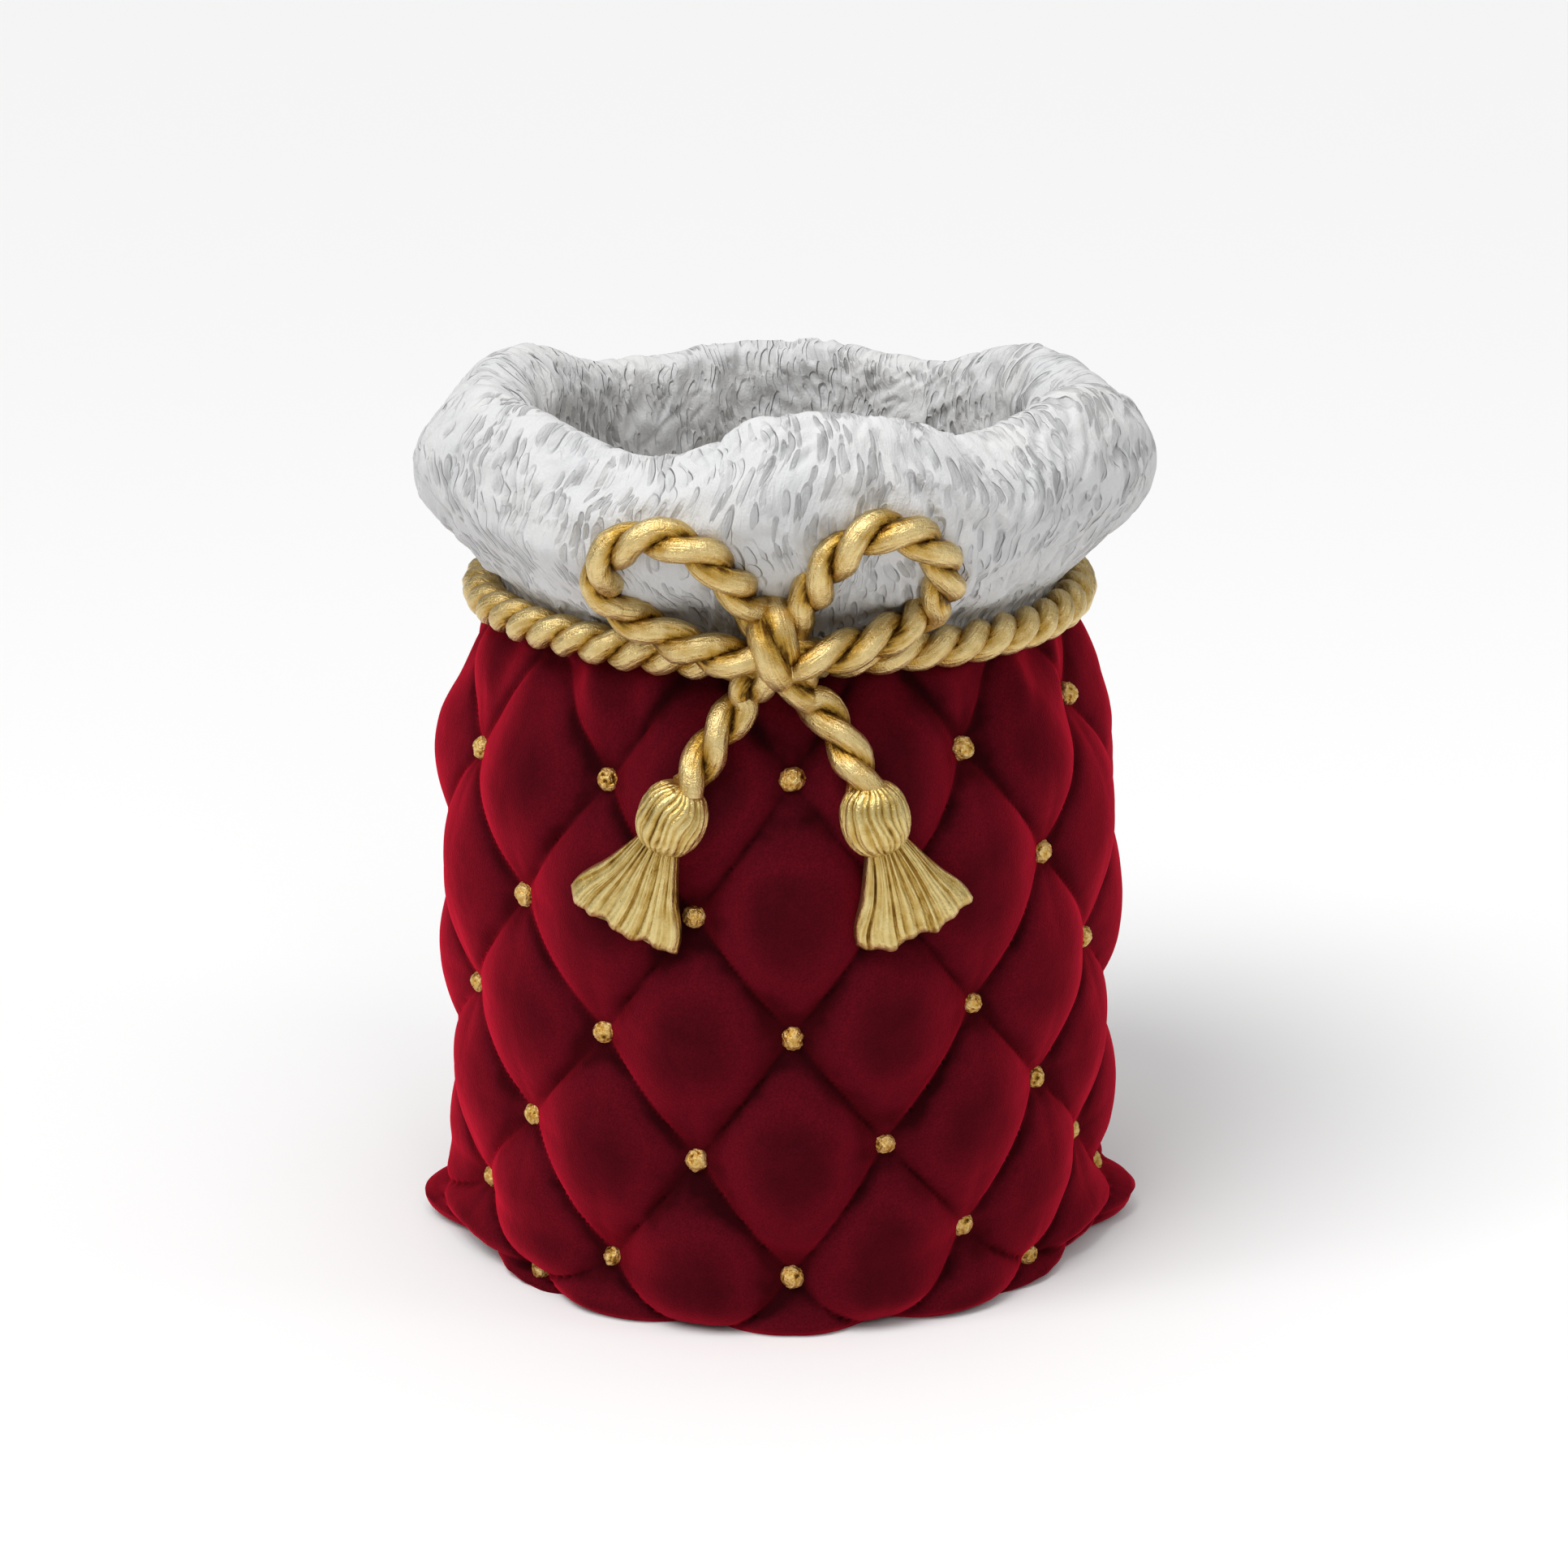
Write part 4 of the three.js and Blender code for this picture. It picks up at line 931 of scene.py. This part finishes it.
def tassel_frame(angle, below, lean, standing):
    """Origin and axes of a tassel: down its length, across it and out of the sack. below is
    its distance below the neck cord, and standing how far its middle stands off the body."""
    height = CORD_HEIGHT - below
    radius = body_radius(np.array(angle), np.array(height)) + standing
    turn, tip = math.radians(angle), math.radians(lean)
    out = np.array([math.sin(turn), -math.cos(turn), 0])
    level = np.array([math.cos(turn), math.sin(turn), 0])
    upright = np.array([0, 0, 1])
    down = level * math.sin(tip) - upright * math.cos(tip)
    across = level * math.cos(tip) + upright * math.sin(tip)
    return around(angle, float(radius), height), down, across, out


def place_in(frame_of_tassel, along, aside, proud):
    """Points given by their distances down a tassel, across it and out of the sack."""
    origin, down, across, out = frame_of_tassel
    return origin + along[..., None] * down + aside[..., None] * across + proud[..., None] * out


def creases(place, count, width, seed, low=-1.0, high=1.0, wraps=False):
    """Threads of uneven width with narrow creases between them: 0 in a crease, 1 on a thread."""
    random = np.random.default_rng(seed)
    step = (high - low) / count
    depth = np.zeros(np.shape(place))
    for number in range(count):
        middle = low + (number + 0.5 + random.uniform(-0.38, 0.38)) * step
        away = place - middle
        if wraps:
            away = (away + (high - low) / 2) % (high - low) - (high - low) / 2
        reach = width * step * random.uniform(0.7, 1.5)
        depth = np.maximum(depth, random.uniform(0.35, 1.0) * np.exp(-np.abs(away / reach) ** 1.4))
    return 1 - depth


def tassel_head(name, replaced, angle, below, lean, seed):
    """A ball of threads, gathered at the top and tied at the bottom."""
    around_count, rings = 220, 60
    turn, rise = np.meshgrid(np.linspace(0, 2 * math.pi, around_count, endpoint=False),
                             np.linspace(0.02, math.pi - 0.02, rings))
    leaning = turn + 0.14 * np.sin(2 * rise + seed) + 0.05 * np.sin(5 * rise + 3 * turn)
    thread = creases(leaning, HEAD_THREADS, 0.22, seed, 0, 2 * math.pi, wraps=True)
    wide = np.sin(rise) ** 0.7
    crease = 1 - 0.11 * (1 - thread) * smooth_step(np.sin(rise), 0.05, 0.5)
    radius = HEAD_RADIUS * wide * crease
    along = -HEAD_HALF_LENGTH * np.cos(rise)
    points = place_in(tassel_frame(angle, below, lean, 0.6 * MM), along, radius * np.cos(turn),
                      HEAD_FLATNESS * radius * np.sin(turn))
    head = shell(name, points)
    face_outwards(head)
    point_values(head, "crown", thread, fill=0.5)
    straight_values(head, np.stack([radius * np.cos(turn), radius * np.sin(turn), along], axis=-1))
    head.data.materials.append(TASSEL_GOLD)
    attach(head, "root")
    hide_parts(replaced)
    return head


def tassel_skirt(name, replaced, angle, below, lean, corner, seed):
    """A flat flare of threads pressed on the sack, with deep creases and a scalloped edge.
    corner is how far the edge is drawn up at its two corners."""
    random = np.random.default_rng(seed)
    around_count, rings = 300, 64
    turn, fall = np.meshgrid(np.linspace(0, 2 * math.pi, around_count, endpoint=False),
                             np.linspace(0, 1, rings))
    fan = np.cos(turn)
    leaning = fan + 0.05 * np.sin(3 * fall + seed) + 0.02 * np.sin(7 * fall + 5 * fan)
    coarse = creases(leaning, SKIRT_THREADS, 0.2, seed)
    fine = creases(leaning + 0.03 * fall, SKIRT_FINE_THREADS, 0.24, seed + 3)
    thread = 0.6 * coarse + 0.4 * fine
    spread = SKIRT_WIDTH / 2 - SKIRT_TIED_HALF
    flare = SKIRT_TIED_HALF + spread * smooth_through(SKIRT_FLARE, fall)
    scallop = 0.7 * MM * np.sin(fan * 8 + random.uniform(0, 6)) + 0.45 * MM * np.sin(fan * 17 + seed)
    length = SKIRT_LENGTH + scallop - 1.0 * MM * fan ** 2 - corner * fan ** 8
    closing = np.sqrt(np.clip((1 - fall) / 0.10, 0, 1))
    thick = (SKIRT_THICKNESS + 0.6 * MM * fall) * closing ** 0.9
    along = SKIRT_START + fall * length
    aside = fan * flare
    sag = (aside ** 2) / (2 * BELLY_RADIUS)
    lens = np.sign(np.sin(turn)) * np.abs(np.sin(turn)) ** 0.6
    proud = lens * thick * (1 - 0.42 * (1 - thread)) - sag
    points = place_in(tassel_frame(angle, below, lean, 1.2 * MM), along, aside, proud)
    skirt = shell(name, points)
    face_outwards(skirt)
    point_values(skirt, "crown", thread * (0.8 + 0.3 * fall), fill=0.5)
    straight_values(skirt, np.stack([fan * SKIRT_WIDTH / 2, 0 * fan, along], axis=-1))
    skirt.data.materials.append(TASSEL_GOLD)
    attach(skirt, "root")
    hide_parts(replaced)
    return skirt


# ---------------------------------------------------------------- the studs

# The lowest crossings, too close to the floor for a stud on the solid model: angle, height in
# millimetres.
LOW_STUDS = [(-48.8, 3.8), (51.2, 6.9), (167, 3.6)]


def stud_tree():
    """A grainy bead on every point, each one turned and squeezed its own way; its paint is
    dabbed on, so its streaks are as long as they are wide."""
    sizes = {"Stud Radius": 3.05 * MM, "Grain": 1.9 * MM, "Seed": 4}
    tree, given = new_tree("Studs", sizes)
    grain_ball = node(tree, "GeometryNodeMeshIcoSphere", {"Radius": given.outputs["Stud Radius"],
                      "Subdivisions": 4})
    squeeze = node(tree, "FunctionNodeRandomValue", {0: (0.85, 0.85, 0.85), 1: (1.12, 1.12, 1.0),
                   "Seed": given.outputs["Seed"]}, data_type="FLOAT_VECTOR")
    spin = node(tree, "FunctionNodeRandomValue", {0: (0, 0, 0), 1: (6.28, 6.28, 6.28),
                "Seed": given.outputs["Seed"]}, data_type="FLOAT_VECTOR")
    beads = node(tree, "GeometryNodeInstanceOnPoints", {"Points": given.outputs["Geometry"],
                 "Instance": grain_ball, "Rotation": spin, "Scale": squeeze})
    real = node(tree, "GeometryNodeRealizeInstances", {"Geometry": beads})
    spot = node(tree, "GeometryNodeInputPosition")
    skin = node(tree, "GeometryNodeInputNormal")
    grit = node(tree, "ShaderNodeTexNoise", {"Vector": spot, "Scale": 1 / (1.7 * MM), "Detail": 5,
                "Roughness": 0.6})
    centred = node(tree, "ShaderNodeMath", {0: grit, 1: 0.5}, operation="SUBTRACT")
    rough = node(tree, "ShaderNodeMath", {0: centred, 1: given.outputs["Grain"]}, operation="MULTIPLY")
    offset = node(tree, "ShaderNodeVectorMath", {0: skin, "Scale": rough}, operation="SCALE")
    lumpy = node(tree, "GeometryNodeSetPosition", {"Geometry": real, "Offset": offset})
    # The grain's low places get the gold paint's painted shade and its high places the painted highlight.
    crown = node(tree, "ShaderNodeMapRange", {0: grit, 1: 0.32, 2: 0.62})
    marked = node(tree, "GeometryNodeStoreNamedAttribute", {"Geometry": lumpy, "Name": "crown",
                  "Value": crown.outputs[0]}, data_type="FLOAT", domain="POINT")
    unstretched = (1, 1, STREAK_LENGTH / STREAK_WIDTH)
    place = node(tree, "ShaderNodeVectorMath", {0: spot, 1: unstretched}, operation="MULTIPLY")
    laid_out = node(tree, "GeometryNodeStoreNamedAttribute", {"Geometry": marked, "Name": "straight",
                    "Value": place}, data_type="FLOAT_VECTOR", domain="POINT")
    smooth = node(tree, "GeometryNodeSetShadeSmooth", {"Geometry": laid_out})
    close_tree(tree, smooth, STUD_GOLD)
    return tree


def studs():
    """All the studs: one on each of the solid model's, and the lowest ones."""
    places = []
    for name in STUD_NODES:
        spot = middle(name)
        angle = math.degrees(math.atan2(spot.x, -spot.y))
        places.append(around(angle, math.hypot(spot.x, spot.y) - 0.3 * MM, spot.z))
    for angle, height in LOW_STUDS:
        radius = float(body_radius(np.array(angle), np.array(height * MM))) - STUD_DEPTH + 0.6 * MM
        places.append(around(angle, radius, height * MM))
    mesh = bpy.data.meshes.new("studs")
    mesh.from_pydata([tuple(place) for place in places], [], [])
    beads = grown(placed("gold_studs", mesh), stud_tree())
    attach(beads, "root")
    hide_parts(*STUD_NODES)
    return beads


# ---------------------------------------------------------------- camera, floor and lights

CAMERA_PLACE = (0, -0.9, 0.4051)
CAMERA_DIP = 17.66  # degrees below level
CAMERA_LENS = 82.1  # millimetres, for a sensor 36 mm wide
CAMERA_SHIFT = 0.0029
FLOOR_HALF = 6.0
AIM = (0, 0, 0.12)  # the middle of the sack, which every light is turned to


def camera():
    """The camera, level across and looking slightly down on the front of the sack."""
    lens = bpy.data.cameras.new("camera")
    lens.sensor_width = 36
    lens.lens = CAMERA_LENS
    lens.shift_x = CAMERA_SHIFT
    lens.clip_end = 20
    eye = placed("camera", lens)
    eye.location = CAMERA_PLACE
    eye.rotation_euler = (math.radians(90 - CAMERA_DIP), 0, 0)
    bpy.context.scene.camera = eye


def floor():
    """A pale, matte floor."""
    mesh = bpy.data.meshes.new("floor")
    signs = ((-1, -1), (1, -1), (1, 1), (-1, 1))
    corners = [(x * FLOOR_HALF, y * FLOOR_HALF, 0) for x, y in signs]
    mesh.from_pydata(corners, [], [(0, 1, 2, 3)])
    ground = placed("floor", mesh)
    material, _, shader = new_finish("pale_floor", Roughness=0.9, Specular_IOR_Level=0.1)
    shader.inputs["Base Color"].default_value = colour("#f4f4f4")
    ground.data.materials.append(material)


def light(name, place, size, power, kind="AREA"):
    """A soft light aimed at the middle of the sack; size is in metres, or in radians for a sun."""
    lamp = bpy.data.lights.new(name, kind)
    lamp.energy = power
    if kind == "SUN":
        lamp.angle = size
    else:
        lamp.shape = "DISK"
        lamp.size = size
    holder = placed(name, lamp)
    holder.location = place
    way = Vector(AIM) - Vector(place)
    holder.rotation_euler = way.to_track_quat("-Z", "Y").to_euler()


def studio():
    """A pale backdrop and a soft light from all round that grows brighter overhead, with one
    broad key, a weak fill over the mouth and three glints."""
    world = bpy.data.worlds.new("studio")
    world.use_nodes = True
    tree = world.node_tree
    background = tree.nodes["Background"]
    background.inputs["Color"].default_value = colour("#ffffff")
    way = node(tree, "ShaderNodeTexCoord").outputs["Generated"]
    rise = node(tree, "ShaderNodeSeparateXYZ", {0: way})
    overhead = node(tree, "ShaderNodeMapRange", {0: rise.outputs[2], 1: 0.0, 2: 1.0, 3: 0.1, 4: 0.86})
    seen = node(tree, "ShaderNodeLightPath").outputs["Is Camera Ray"]
    backdrop = node(tree, "ShaderNodeMix", {0: seen, 2: overhead.outputs[0], 3: 0.86},
                    data_type="FLOAT")
    tree.links.new(backdrop.outputs[0], background.inputs["Strength"])
    bpy.context.scene.world = world
    bpy.context.scene.view_settings.view_transform = "Standard"
    light("key_above", (-0.6, -0.6, 1.45), 0.6, 1.55, kind="SUN")
    light("front_glint", (0.3, -1.2, 0.85), 0.3, 1.0)
    light("mouth_fill", (0, -0.2, 0.5), 0.2, 0.2)
    light("left_glint", (-1.0, -0.5, 0.7), 0.3, 1.5)
    light("right_glint", (1.0, -0.3, 0.7), 0.3, 1.1)


camera()
floor()
studio()
quilted_body()
fur_collar()
CORD_TREE = twisted_cord_tree()
neck_cord(CORD_TREE)
bow_piece("bow_loop_left_twisted", LEFT_LOOP, lying_radius, CORD_TREE, "bow_loop_left")
bow_piece("bow_loop_right_twisted", RIGHT_LOOP, lying_radius, CORD_TREE, "bow_loop_right")
bow_piece("cord_tail_left_twisted", LEFT_TAIL, tail_radius, CORD_TREE, "cord_tail_left")
bow_piece("cord_tail_right_twisted", RIGHT_TAIL, tail_radius, CORD_TREE, "cord_tail_right")
knot_wrap(CORD_TREE)
tassel_head("tassel_head_left_fluted", "tassel_head_left", *LEFT_TASSEL, lean=-22, seed=1)
tassel_head("tassel_head_right_fluted", "tassel_head_right", *RIGHT_TASSEL, lean=14, seed=2)
tassel_skirt("tassel_skirt_left_fluted", "tassel_skirt_left", *LEFT_TASSEL, lean=-25,
             corner=1.4 * MM, seed=3)
tassel_skirt("tassel_skirt_right_fluted", "tassel_skirt_right", *RIGHT_TASSEL, lean=21,
             corner=2.6 * MM, seed=4)
studs()
